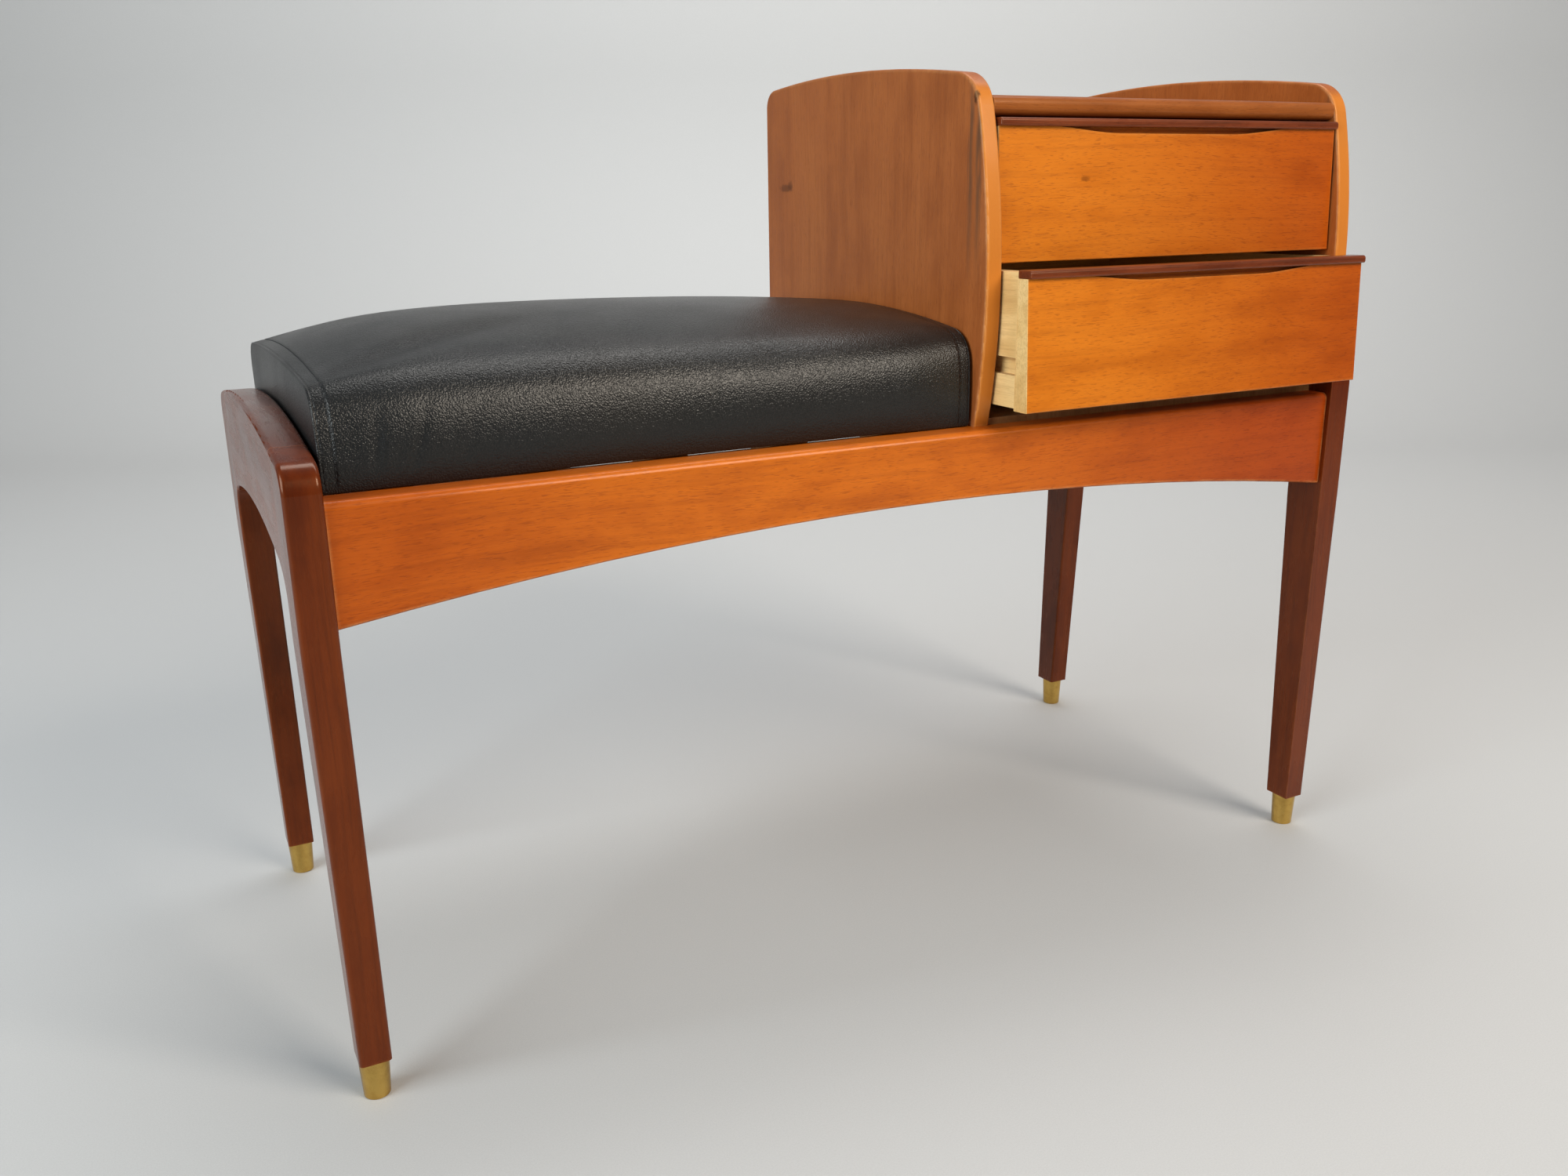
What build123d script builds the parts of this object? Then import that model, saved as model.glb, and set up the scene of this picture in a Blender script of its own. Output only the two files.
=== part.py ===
"""A telephone bench: a padded seat on two arched end frames, beside a small two-drawer cabinet.

Drawn in millimetres. Along X the bench runs from the seat end (left) to the cabinet end (right),
the drawers open towards -Y, and Z is up from the floor. The origin is under the middle of the
bench as it stands with its lower drawer a little open.
"""

import os
from math import sqrt

from build123d import *

os.makedirs("parts", exist_ok=True)

# ---------------------------------------------------------------- driving dimensions

# overall
bench_length = 880.0
bench_depth = 377.0

# end frames: two legs and an arched rail each
frame_thickness = 23.5
frame_top_height = 450.0  # crown of the end rail
frame_crown_rise = 15.0  # crown above the corners of the frame
frame_corner_radius = 18.0
frame_edge_radius = 3.0
frame_opening_edge_radius = 2.0
rail_depth = 71.5  # end rail, from its crown to the arch under its middle
arch_rise = 16.0
arch_shoulder_radius = 26.0
leg_top_depth = 37.5
leg_joint_depth = 46.0  # where the rail meets the leg
leg_straight_length = 40.5  # below the spring of the arch, and from there the legs taper
leg_bottom_depth = 24.5
leg_bottom_width = 21.5
leg_bottom_inset = 4.5  # outer face of the foot behind the outer face of the frame

# ferrules
ferrule_height = 30.0
ferrule_top_diameter = 21.0
ferrule_bottom_diameter = 18.0
ferrule_wall = 1.2
ferrule_floor = 2.0
ferrule_bottom_edge = 1.0
spigot_clearance = 0.1
spigot_gap = 0.5  # end of the spigot above the floor of the ferrule

# aprons
apron_top_drop = 37.0  # below the crown of the end frames
apron_end_depth = 79.5
apron_arch_rise = 29.5
apron_thickness = 26.0
apron_setback = 4.0  # behind the front of the legs
apron_top_edge_radius = 5.0
apron_edge_chamfer = 1.0

# hidden joinery of the frame
frame_dowel_diameter = 8.0
frame_dowel_length = 38.0
dowel_depth_in_leg = 14.0  # where an apron meets a leg
dowel_hole_extra = 1.0  # each hole is this much longer than its dowel
rail_dowel_low = 19.0  # first dowel of the end rail above the spring of the arch
rail_dowel_spacing = 34.0
apron_dowel_low = 22.0  # first dowel of an apron above its lower corner
apron_dowel_spacing = 37.0
corner_block_size = 36.0
corner_block_height = 28.0
corner_block_drop = 10.0  # top of the block below the top of the apron
corner_block_flat = 12.0  # flat for a screw at each end of the slope
block_screw_lift = 8.0  # first screw above the bottom of the block
block_screw_spacing = 13.0
cleat_end_gap = 1.0
cleat_width = 18.0
cleat_height = 18.0
slat_count = 5
slat_width = 24.0
slat_thickness = 12.0
slat_stand = 2.5  # slats stand this far above the aprons
slat_end_gap = 1.0
slat_first_inset = 46.0  # middle of the first slat from the end frame
slat_last_inset = 52.0  # middle of the last slat from the bearer
slat_edge_radius = 2.0
seat_screw_inset = 94.0  # from the front and back of the bench

# screws
screw_diameter = 4.0
screw_head_diameter = 8.0
screw_head_height = 2.2
slat_screw_length = 26.0
seat_screw_length = 18.0
cleat_screw_length = 34.0
block_screw_length = 50.0
cheek_screw_length = 50.0
runner_screw_length = 18.0
screw_clearance = 0.1

# cushion
cushion_end_gap = 1.5  # from the end frame and from the cheek
cushion_front_inset = 21.0
cushion_back_inset = 19.0
cushion_full_share = 0.35  # of its length from the left, where the cushion is fullest
cushion_edge_rise = 74.5  # above the slats, along the front and back
cushion_crown_rise = 92.5  # above the slats, along the middle
cushion_left_edge_drop = 11.0  # the cushion sinks towards its ends by these
cushion_left_crown_drop = 25.0
cushion_right_edge_drop = 2.0
cushion_right_crown_drop = 10.0
cushion_corner_radius = 20.0
cushion_draw_in = 3.0
cushion_end_roll = 8.0
seat_board_thickness = 9.0
seat_board_inset = 6.0
foam_inset = 24.0
foam_height = 42.0
foam_edge_radius = 8.0
foam_clearance = 0.3

# cabinet
cabinet_inset = 10.5  # from the front and back of the legs
cheek_thickness = 14.0
drawer_bay_width = 343.0
cheek_top_height = 679.0
cheek_peak_back = 235.0  # highest point of the cheeks, behind the front of the legs
cheek_shoulder_drop = 14.5  # front corner below the highest point
cheek_back_drop = 6.0  # back corner below the highest point
cheek_corner_radius = 32.0
cheek_back_corner_radius = 16.0
cheek_bow_radius = 514.0  # front edge, as seen from the side
cheek_bow_lift = 104.5  # most forward point of the front edge above the aprons
cheek_edge_radius = 2.0
shelf_thickness = 14.0
shelf_drop = 28.5  # top of the shelf below the top of the cheeks
shelf_setback = 1.0  # behind the front edge of the cheeks
shelf_nose_radius = 6.0
back_thickness = 5.0
back_inset = 6.0
base_thickness = 5.0  # board under the drawers
base_bearing = 6.0  # width of the board that rests on the front apron
bearer_width = 22.0
bearer_height = 30.0
cabinet_dowel_count = 3
cabinet_dowel_inset = 78.5  # first dowel from the front and back of a cheek
cabinet_dowel_diameter = 6.0
cabinet_dowel_length = 22.0
dowel_depth_in_cheek = 9.0

# drawers
drawer_front_thickness = 16.0  # at its bottom
drawer_front_lean = 4.6  # top of the face behind its bottom
drawer_front_setback = 8.0  # bottom of the face behind the most forward point of the cheeks
drawer_side_gap = 1.5
drawer_top_gap = 1.5
drawer_between_gap = 3.5
drawer_bottom_gap = 14.5  # above the aprons
drawer_end_gap = 17.0  # ends of the sides ahead of the cabinet's back
drawer_front_edge_radius = 1.0
side_thickness = 12.0
side_bottom_lift = 2.0  # the front hangs this far below the sides
side_top_drop = 1.5
tongue_thickness = 6.0
tongue_length = 6.0
tongue_shoulder = 10.0  # top of the tongue below the top of the side
joint_clearance = 0.1
drawer_back_thickness = 10.0
drawer_back_drop = 10.0
drawer_back_housing = 3.0
drawer_back_inset = 8.0  # back of the drawer ahead of the ends of its sides
bottom_thickness = 4.0
bottom_groove_depth = 5.0
bottom_groove_lift = 8.0
runner_height = 12.4
runner_engagement = 6.0
runner_lift = 24.0  # underside of the runner above the bottom of the drawer's sides
runner_clearance = 0.3
runner_front_gap = 0.5
runner_end_gap = 8.5  # ahead of the cabinet's back
runner_screw_inset = 40.0
lower_drawer_open = 41.5  # as the bench stands

# pulls, and the finger hollow in the drawer front under their nose
pull_thickness = 6.0
pull_overhang = 3.7  # ahead of the top of the drawer's face
pull_nose_radius = 2.4
pull_underside_radius = 1.5
pull_end_radius = 1.0
hollow_drop = 4.5
hollow_reach = 6.0  # behind the top of the face
hollow_flat_width = 110.0
hollow_width = 260.0
hollow_fade = 0.6  # the hollow fades out this far above the edge that it cuts

# ---------------------------------------------------------------- derived places

middle_of_depth = bench_depth / 2
frame_corner_height = frame_top_height - frame_crown_rise
arch_height = frame_top_height - rail_depth
arch_spring_height = arch_height - arch_rise
leg_taper_height = arch_spring_height - leg_straight_length
right_frame = bench_length - frame_thickness
foot_across = leg_bottom_inset + leg_bottom_width / 2
foot_back = leg_bottom_depth / 2
back_joint = bench_depth - leg_joint_depth

apron_top_height = frame_top_height - apron_top_drop
apron_back_face = apron_setback + apron_thickness
apron_end_height = apron_top_height - apron_end_depth
slat_top_height = apron_top_height + slat_stand
cleat_top_height = slat_top_height - slat_thickness
block_top_height = apron_top_height - corner_block_drop
block_bottom_height = block_top_height - corner_block_height

left_cheek_inner = right_frame - drawer_bay_width
left_cheek_outer = left_cheek_inner - cheek_thickness
cheek_front = cabinet_inset
cheek_back = bench_depth - cabinet_inset
cheek_shoulder_height = cheek_top_height - cheek_shoulder_drop
cheek_bow_height = apron_top_height + cheek_bow_lift
shelf_top_height = cheek_top_height - shelf_drop
shelf_bottom_height = shelf_top_height - shelf_thickness
left_cheek_middle = left_cheek_outer + cheek_thickness / 2
right_cheek_middle = right_frame + cheek_thickness / 2
bearer_left = left_cheek_middle - bearer_width / 2
bearer_bottom = apron_top_height - bearer_height
back_front_face = cheek_back - back_inset - back_thickness

closed_face = cheek_front + drawer_front_setback
drawer_left = left_cheek_inner + drawer_side_gap
drawer_right = right_frame - drawer_side_gap
drawer_depth = back_front_face - drawer_end_gap - closed_face
lower_drawer_bottom = apron_top_height + drawer_bottom_gap
both_drawers = shelf_bottom_height - drawer_top_gap - lower_drawer_bottom
drawer_front_height = (both_drawers - drawer_between_gap) / 2  # with its pull
upper_drawer_bottom = lower_drawer_bottom + drawer_front_height + drawer_between_gap
front_board_height = drawer_front_height - pull_thickness
runner_front = closed_face + drawer_front_thickness + runner_front_gap
runner_length = back_front_face - runner_end_gap - runner_front
runner_reach = drawer_side_gap + runner_engagement
groove_depth = runner_engagement + drawer_side_gap / 2
groove_height = runner_height + 2 * runner_clearance

# the origin lies midway between the front of the open drawer and the back legs
pull_nose = closed_face + drawer_front_lean - pull_overhang
foremost = min(min(closed_face, pull_nose) - lower_drawer_open, 0.0)
origin_back = (foremost + bench_depth) / 2


def plan_view(height):
    """Plane seen from above: x from the left end, y from the front of the legs."""
    return Plane(origin=(-bench_length / 2, -origin_back, height))


def side_view(along):
    """Plane seen from the right end: x from the front of the legs, y up from the floor."""
    return Plane(
        origin=(along - bench_length / 2, -origin_back, 0), x_dir=(0, 1, 0), z_dir=(1, 0, 0)
    )


def front_view(back):
    """Plane seen from the front: x from the left end, y up from the floor, facing forwards."""
    return Plane(
        origin=(-bench_length / 2, back - origin_back, 0), x_dir=(1, 0, 0), z_dir=(0, -1, 0)
    )


mirror_ends = Plane.YZ
mirror_depth = Plane(origin=(0, middle_of_depth - origin_back, 0), z_dir=(0, 1, 0))


def area(low, high, mode=Mode.ADD):
    """Rectangle of a sketch, from its low corner to its high corner."""
    middle = ((low[0] + high[0]) / 2, (low[1] + high[1]) / 2)
    with Locations(middle):
        Rectangle(high[0] - low[0], high[1] - low[1], mode=mode)


def save(piece, name):
    """Label a finished piece and write its file."""
    piece.part.label = name
    export_step(piece.part, f"parts/{name}.step")


def place(along, back, height):
    """Point of the drawing, from the left end, the front of the legs and the floor."""
    return Vector(along - bench_length / 2, back - origin_back, height)


def sagitta(rise, half_width, offset):
    """How far an arched edge has fallen away at a distance from its middle."""
    radius = (half_width**2 + rise**2) / (2 * rise)
    return radius - sqrt(radius**2 - offset**2)


def rod(start, direction, diameter, length, mode=Mode.ADD):
    """Round rod, or a drilled hole, from a point of the drawing along a direction."""
    with Locations(Plane(origin=place(*start), z_dir=direction)):
        Cylinder(
            diameter / 2, length, align=(Align.CENTER, Align.CENTER, Align.MIN), mode=mode
        )


def dowel_hole(start, direction, diameter, length):
    """Hole for a dowel, a little longer than the dowel at both ends."""
    end_room = dowel_hole_extra / 2
    back_off = [value - step * end_room for value, step in zip(start, direction)]
    rod(back_off, direction, diameter, length + dowel_hole_extra, Mode.SUBTRACT)


def screw(start, direction, length, room=0.0, mode=Mode.ADD):
    """Countersunk wood screw, from the middle of its head along a direction."""
    with Locations(Plane(origin=place(*start), z_dir=direction)):
        Cone(
            screw_head_diameter / 2 + room, screw_diameter / 2 + room, screw_head_height,
            align=(Align.CENTER, Align.CENTER, Align.MIN), mode=mode,
        )
    rod(start, direction, screw_diameter + 2 * room, length + room, mode)


def screw_hole(start, direction, length):
    """Countersunk hole for a screw, a little wider than the screw."""
    screw(start, direction, length, screw_clearance, Mode.SUBTRACT)


def evenly(first, last, count):
    """Evenly spaced values from the first to the last."""
    return [first + (last - first) * step / (count - 1) for step in range(count)]


# ---------------------------------------------------------------- fastener places

leftwards, rightwards = (-1, 0, 0), (1, 0, 0)
forwards, backwards = (0, -1, 0), (0, 1, 0)
upwards, downwards = (0, 0, 1), (0, 0, -1)

# dowels between the end rail and the legs, and between an apron and a leg
rail_dowel_height = arch_spring_height + rail_dowel_low
rail_dowels = [
    (frame_thickness / 2, joint - frame_dowel_length / 2, height)
    for joint in (leg_joint_depth, back_joint)
    for height in (rail_dowel_height, rail_dowel_height + rail_dowel_spacing)
]
apron_middle = apron_setback + apron_thickness / 2
apron_dowel_height = apron_end_height + apron_dowel_low
apron_dowels = [
    (frame_thickness - dowel_depth_in_leg, back, height)
    for back in (apron_middle, bench_depth - apron_middle)
    for height in (apron_dowel_height, apron_dowel_height + apron_dowel_spacing)
]

# screws of the front corner block, one into the apron and one into the frame
low_screw_height = block_bottom_height + block_screw_lift
block_apron_screw = (
    frame_thickness + corner_block_flat / 2, apron_back_face + corner_block_size, low_screw_height
)
block_frame_screw = (
    frame_thickness + corner_block_size,
    apron_back_face + corner_block_flat / 2,
    low_screw_height + block_screw_spacing,
)

# slats, and the screws that hold them and their cleats
slat_middles = evenly(
    frame_thickness + slat_first_inset, bearer_left - slat_last_inset, slat_count
)
cleat_middle = apron_back_face + cleat_width / 2
slat_screws = [(middle, cleat_middle, slat_top_height) for middle in slat_middles]
cleat_screws = [
    ((before + after) / 2, apron_back_face + cleat_width, cleat_top_height - cleat_height / 2)
    for before, after in zip(slat_middles, slat_middles[1:])
]
seat_screws = [
    (middle, back, cleat_top_height)
    for middle in (slat_middles[0], slat_middles[-1])
    for back in (seat_screw_inset, bench_depth - seat_screw_inset)
]

# dowels and screws of the cabinet
cheek_dowel_backs = evenly(
    cheek_front + cabinet_dowel_inset, cheek_back - cabinet_dowel_inset, cabinet_dowel_count
)
shelf_middle = shelf_top_height - shelf_thickness / 2
left_shelf_dowels = [
    (left_cheek_inner - dowel_depth_in_cheek, back, shelf_middle) for back in cheek_dowel_backs
]
right_shelf_dowels = [
    (right_frame + dowel_depth_in_cheek, back, shelf_middle) for back in cheek_dowel_backs
]
rail_cheek_dowels = [
    (
        right_cheek_middle,
        back,
        frame_top_height
        - sagitta(frame_crown_rise, middle_of_depth, back - middle_of_depth)
        - cabinet_dowel_length / 2,
    )
    for back in cheek_dowel_backs
]
bearer_dowels = [
    (along, apron_back_face - dowel_depth_in_cheek, apron_top_height - bearer_height / 2)
    for along in (bearer_left + bearer_width / 4, bearer_left + bearer_width * 3 / 4)
]
cheek_screws = [(left_cheek_middle, back, bearer_bottom) for back in cheek_dowel_backs]


# ---------------------------------------------------------------- end frames


def on_outline(edge):
    """Whether an edge belongs to the outside of the frame and not to its opening."""
    middle = edge @ 0.5
    from_middle = abs(middle.Y + origin_back - middle_of_depth)
    return middle.Z > arch_height + arch_rise or from_middle > middle_of_depth - 1


def end_frame(round_inside):
    """One end frame in one piece, left-handed, before it is cut into legs and rail."""
    with BuildPart() as frame:
        with BuildSketch(side_view(0)) as outline:
            with BuildLine():
                crown = ThreePointArc(
                    (0, frame_corner_height),
                    (middle_of_depth, frame_top_height),
                    (bench_depth, frame_corner_height),
                )
                Polyline(
                    crown @ 1, (bench_depth, leg_taper_height), (0, leg_taper_height), crown @ 0
                )
            make_face()
            fillet(outline.vertices().group_by(Axis.Y)[-1], frame_corner_radius)
            with BuildLine():
                back_spring = bench_depth - leg_top_depth
                arch = ThreePointArc(
                    (leg_top_depth, arch_spring_height),
                    (middle_of_depth, arch_height),
                    (back_spring, arch_spring_height),
                )
                Polyline(
                    arch @ 1, (back_spring, leg_taper_height), (leg_top_depth, leg_taper_height),
                    arch @ 0,
                )
            make_face(mode=Mode.SUBTRACT)
            springs = outline.vertices().filter_by_position(
                Axis.Y, arch_spring_height - 0.5, arch_spring_height + 0.5
            )
            fillet(springs, arch_shoulder_radius)
        extrude(amount=frame_thickness)
        for leg_front, foot_front in (
            (0, 0), (bench_depth - leg_top_depth, bench_depth - leg_bottom_depth)
        ):
            with BuildSketch(plan_view(leg_taper_height)):
                area((0, leg_front), (frame_thickness, leg_front + leg_top_depth))
            with BuildSketch(plan_view(ferrule_height)):
                area(
                    (leg_bottom_inset, foot_front),
                    (leg_bottom_inset + leg_bottom_width, foot_front + leg_bottom_depth),
                )
            loft(ruled=True)
        upright = frame.edges().filter_by(Axis.X, reverse=True).filter_by(Axis.Y, reverse=True)
        fillet(upright.filter_by(lambda edge: not on_outline(edge)), frame_opening_edge_radius)
        upright = frame.edges().filter_by(Axis.X, reverse=True).filter_by(Axis.Y, reverse=True)
        outline_edges = upright.filter_by(on_outline)
        if not round_inside:
            outline_edges = outline_edges.filter_by_position(
                Axis.X, -bench_length / 2 - 1, -bench_length / 2 + frame_thickness / 2
            )
        fillet(outline_edges, frame_edge_radius)
        for start in rail_dowels:
            dowel_hole(start, backwards, frame_dowel_diameter, frame_dowel_length)
        for start in apron_dowels:
            dowel_hole(start, rightwards, frame_dowel_diameter, frame_dowel_length)
        for back in (block_frame_screw[1], bench_depth - block_frame_screw[1]):
            screw_hole((block_frame_screw[0], back, block_frame_screw[2]), leftwards, block_screw_length)
    return frame


left_frame = end_frame(round_inside=True)

# the cabinet stands on the right frame, so its inner edge stays square and its rail has dowels
with BuildPart() as right_frame_piece:
    add(end_frame(round_inside=False).part)
    mirror(about=mirror_ends, mode=Mode.REPLACE)
    for start in rail_cheek_dowels:
        dowel_hole(start, upwards, cabinet_dowel_diameter, cabinet_dowel_length)

front_split = Plane(origin=place(0, leg_joint_depth, 0), z_dir=backwards)
back_split = Plane(origin=place(0, back_joint, 0), z_dir=backwards)
spigot_length = ferrule_height - ferrule_floor - spigot_gap
foot_places = {
    "front_left": (foot_across, foot_back),
    "back_left": (foot_across, bench_depth - foot_back),
    "front_right": (bench_length - foot_across, foot_back),
    "back_right": (bench_length - foot_across, bench_depth - foot_back),
}


def ferrule_radius(height):
    """Outer radius of a ferrule at a height above the floor."""
    taper = (ferrule_top_diameter - ferrule_bottom_diameter) / ferrule_height
    return (ferrule_bottom_diameter + taper * height) / 2


def spigot(foot):
    """Turned end of a leg, inside its ferrule."""
    foot_bottom = ferrule_height - spigot_length
    inside = ferrule_wall + spigot_clearance
    with Locations(place(*foot, foot_bottom)):
        Cone(
            ferrule_radius(foot_bottom) - inside, ferrule_radius(ferrule_height) - inside,
            spigot_length, align=(Align.CENTER, Align.CENTER, Align.MIN),
        )


for end, frame in (("left", left_frame), ("right", right_frame_piece)):
    with BuildPart() as front_leg:
        add(frame.part)
        split(bisect_by=front_split, keep=Keep.BOTTOM)
        spigot(foot_places[f"front_{end}"])
    save(front_leg, f"{end}_front_leg")

    with BuildPart() as back_leg:
        add(frame.part)
        split(bisect_by=back_split, keep=Keep.TOP)
        spigot(foot_places[f"back_{end}"])
    save(back_leg, f"{end}_back_leg")

    with BuildPart() as end_rail:
        add(frame.part)
        split(bisect_by=front_split, keep=Keep.TOP)
        split(bisect_by=back_split, keep=Keep.BOTTOM)
    save(end_rail, f"{end}_end_rail")

for name, foot in foot_places.items():
    with BuildPart() as ferrule:
        with Locations(place(*foot, 0)):
            Cone(
                ferrule_radius(0), ferrule_radius(ferrule_height), ferrule_height,
                align=(Align.CENTER, Align.CENTER, Align.MIN),
            )
        with Locations(place(*foot, ferrule_floor)):
            Cone(
                ferrule_radius(ferrule_floor) - ferrule_wall,
                ferrule_radius(ferrule_height) - ferrule_wall,
                ferrule_height - ferrule_floor,
                align=(Align.CENTER, Align.CENTER, Align.MIN), mode=Mode.SUBTRACT,
            )
        fillet(ferrule.edges().group_by(Axis.Z)[0], ferrule_bottom_edge)
    save(ferrule, f"{name}_ferrule")


# ---------------------------------------------------------------- aprons and hidden joinery

with BuildPart() as front_apron:
    with BuildSketch(front_view(apron_setback)):
        with BuildLine():
            lower_edge = ThreePointArc(
                (frame_thickness, apron_end_height),
                (bench_length / 2, apron_end_height + apron_arch_rise),
                (right_frame, apron_end_height),
            )
            Polyline(
                lower_edge @ 1, (right_frame, apron_top_height),
                (frame_thickness, apron_top_height), lower_edge @ 0,
            )
        make_face()
    extrude(amount=-apron_thickness)
    front_face = front_apron.faces().sort_by(Axis.Y)[0]
    front_edges = front_face.edges().filter_by(Axis.Z, reverse=True).sort_by(Axis.Z)
    fillet(front_edges[-1], apron_top_edge_radius)
    lower_edges = front_apron.edges().filter_by(GeomType.CIRCLE).filter_by_position(
        Axis.Z, apron_end_height, apron_end_height + apron_arch_rise + 1
    )
    chamfer(lower_edges, apron_edge_chamfer)
    for along, back, height in apron_dowels:
        if back < middle_of_depth:
            dowel_hole((along, back, height), rightwards, frame_dowel_diameter, frame_dowel_length)
            from_right = (bench_length - along, back, height)
            dowel_hole(from_right, leftwards, frame_dowel_diameter, frame_dowel_length)
    for along in (block_apron_screw[0], bench_length - block_apron_screw[0]):
        screw_hole((along, *block_apron_screw[1:]), forwards, block_screw_length)
    for start in cleat_screws:
        screw_hole(start, forwards, cleat_screw_length)
    for start in bearer_dowels:
        dowel_hole(start, backwards, cabinet_dowel_diameter, cabinet_dowel_length)
save(front_apron, "front_apron")

with BuildPart() as back_apron:
    add(front_apron.part)
    mirror(about=mirror_depth, mode=Mode.REPLACE)
save(back_apron, "back_apron")

with BuildPart() as frame_dowels:
    for start in rail_dowels:
        rod(start, backwards, frame_dowel_diameter, frame_dowel_length)
    for start in apron_dowels:
        rod(start, rightwards, frame_dowel_diameter, frame_dowel_length)
    mirror(about=mirror_ends)
save(frame_dowels, "frame_dowels")

with BuildPart() as front_left_block:
    with BuildSketch(plan_view(block_bottom_height)):
        with BuildLine():
            near, far = frame_thickness, frame_thickness + corner_block_size
            front, rear = apron_back_face, apron_back_face + corner_block_size
            Polyline(
                (near, front), (far, front), (far, front + corner_block_flat),
                (near + corner_block_flat, rear), (near, rear), close=True,
            )
        make_face()
    extrude(amount=corner_block_height)
    screw_hole(block_apron_screw, forwards, block_screw_length)
    screw_hole(block_frame_screw, leftwards, block_screw_length)
save(front_left_block, "front_left_block")

with BuildPart() as back_left_block:
    add(front_left_block.part)
    mirror(about=mirror_depth, mode=Mode.REPLACE)
save(back_left_block, "back_left_block")

with BuildPart() as front_right_block:
    add(front_left_block.part)
    mirror(about=mirror_ends, mode=Mode.REPLACE)
save(front_right_block, "front_right_block")

with BuildPart() as back_right_block:
    add(back_left_block.part)
    mirror(about=mirror_ends, mode=Mode.REPLACE)
save(back_right_block, "back_right_block")

with BuildPart() as block_screws:
    screw(block_apron_screw, forwards, block_screw_length)
    screw(block_frame_screw, leftwards, block_screw_length)
    mirror(about=mirror_depth)
    mirror(about=mirror_ends)
save(block_screws, "block_screws")

with BuildPart() as cabinet_bearer:
    with BuildSketch(plan_view(bearer_bottom)):
        area(
            (bearer_left, apron_back_face),
            (bearer_left + bearer_width, bench_depth - apron_back_face),
        )
    extrude(amount=bearer_height)
    for start in bearer_dowels:
        dowel_hole(start, backwards, cabinet_dowel_diameter, cabinet_dowel_length)
        from_back = (start[0], bench_depth - start[1], start[2])
        dowel_hole(from_back, forwards, cabinet_dowel_diameter, cabinet_dowel_length)
    for start in cheek_screws:
        screw_hole(start, upwards, cheek_screw_length)
save(cabinet_bearer, "cabinet_bearer")

with BuildPart() as front_seat_cleat:
    cleat_left = frame_thickness + corner_block_size + cleat_end_gap
    with BuildSketch(plan_view(cleat_top_height)):
        area(
            (cleat_left, apron_back_face),
            (bearer_left - cleat_end_gap, apron_back_face + cleat_width),
        )
    extrude(amount=-cleat_height)
    for start in cleat_screws:
        screw_hole(start, forwards, cleat_screw_length)
    for start in slat_screws:
        screw_hole(start, downwards, slat_screw_length)
save(front_seat_cleat, "front_seat_cleat")

with BuildPart() as back_seat_cleat:
    add(front_seat_cleat.part)
    mirror(about=mirror_depth, mode=Mode.REPLACE)
save(back_seat_cleat, "back_seat_cleat")

with BuildPart() as cleat_screw_group:
    for start in cleat_screws:
        screw(start, forwards, cleat_screw_length)
    mirror(about=mirror_depth)
save(cleat_screw_group, "cleat_screws")

slat_back_end = bench_depth - apron_back_face - slat_end_gap
for number, middle in enumerate(slat_middles):
    with BuildPart() as seat_slat:
        with BuildSketch(plan_view(cleat_top_height)):
            area(
                (middle - slat_width / 2, apron_back_face + slat_end_gap),
                (middle + slat_width / 2, slat_back_end),
            )
        extrude(amount=slat_thickness)
        fillet(seat_slat.edges().filter_by(Axis.Y).group_by(Axis.Z)[-1], slat_edge_radius)
        for back in (cleat_middle, bench_depth - cleat_middle):
            screw_hole((middle, back, slat_top_height), downwards, slat_screw_length)
        for start in seat_screws:
            if start[0] == middle:
                screw_hole(start, upwards, seat_screw_length)
    save(seat_slat, f"seat_slat_{number + 1}")

with BuildPart() as slat_screw_group:
    for start in slat_screws:
        screw(start, downwards, slat_screw_length)
    mirror(about=mirror_depth)
save(slat_screw_group, "slat_screws")


# ---------------------------------------------------------------- cushion

cushion_left = frame_thickness + cushion_end_gap
cushion_right = left_cheek_outer - cushion_end_gap
cushion_front = cushion_front_inset
cushion_back = bench_depth - cushion_back_inset
cushion_length = cushion_right - cushion_left
cushion_shares = (0.0, 0.1, 0.25, 0.5, 0.75, 1.0)  # of the length, where its sections are drawn
seat_board_top = slat_top_height + seat_board_thickness


def cushion_sink(share, left_drop, right_drop):
    """How far the cushion has sunk from its fullest place, at a share of its length."""
    if share < cushion_full_share:
        return left_drop * (1 - share / cushion_full_share) ** 4
    return right_drop * ((share - cushion_full_share) / (1 - cushion_full_share)) ** 2


def cushion_section(share):
    """Cross-section of the cushion: flat base, bulging sides, round corners and a crown."""
    low = slat_top_height
    high = low + cushion_edge_rise
    high -= cushion_sink(share, cushion_left_edge_drop, cushion_right_edge_drop)
    crown = low + cushion_crown_rise
    crown -= cushion_sink(share, cushion_left_crown_drop, cushion_right_crown_drop)
    front, back = cushion_front, cushion_back
    draw = cushion_draw_in
    corner = cushion_corner_radius
    bend = corner * (1 - sqrt(0.5))
    waist = (low + high - corner) / 2
    with BuildSketch(side_view(cushion_left + cushion_length * share)) as section:
        with BuildLine():
            front_side = ThreePointArc(
                (front + draw, low), (front, waist), (front + draw / 2, high - corner)
            )
            front_corner = ThreePointArc(
                front_side @ 1, (front + draw / 2 + bend, high - bend),
                (front + draw / 2 + corner, high),
            )
            crown_line = ThreePointArc(
                front_corner @ 1, ((front + back) / 2, crown),
                (back - draw / 2 - corner, high),
            )
            back_corner = ThreePointArc(
                crown_line @ 1, (back - draw / 2 - bend, high - bend),
                (back - draw / 2, high - corner),
            )
            back_side = ThreePointArc(back_corner @ 1, (back, waist), (back - draw, low))
            Line(back_side @ 1, front_side @ 0)
        make_face()
    return section.sketch


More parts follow.
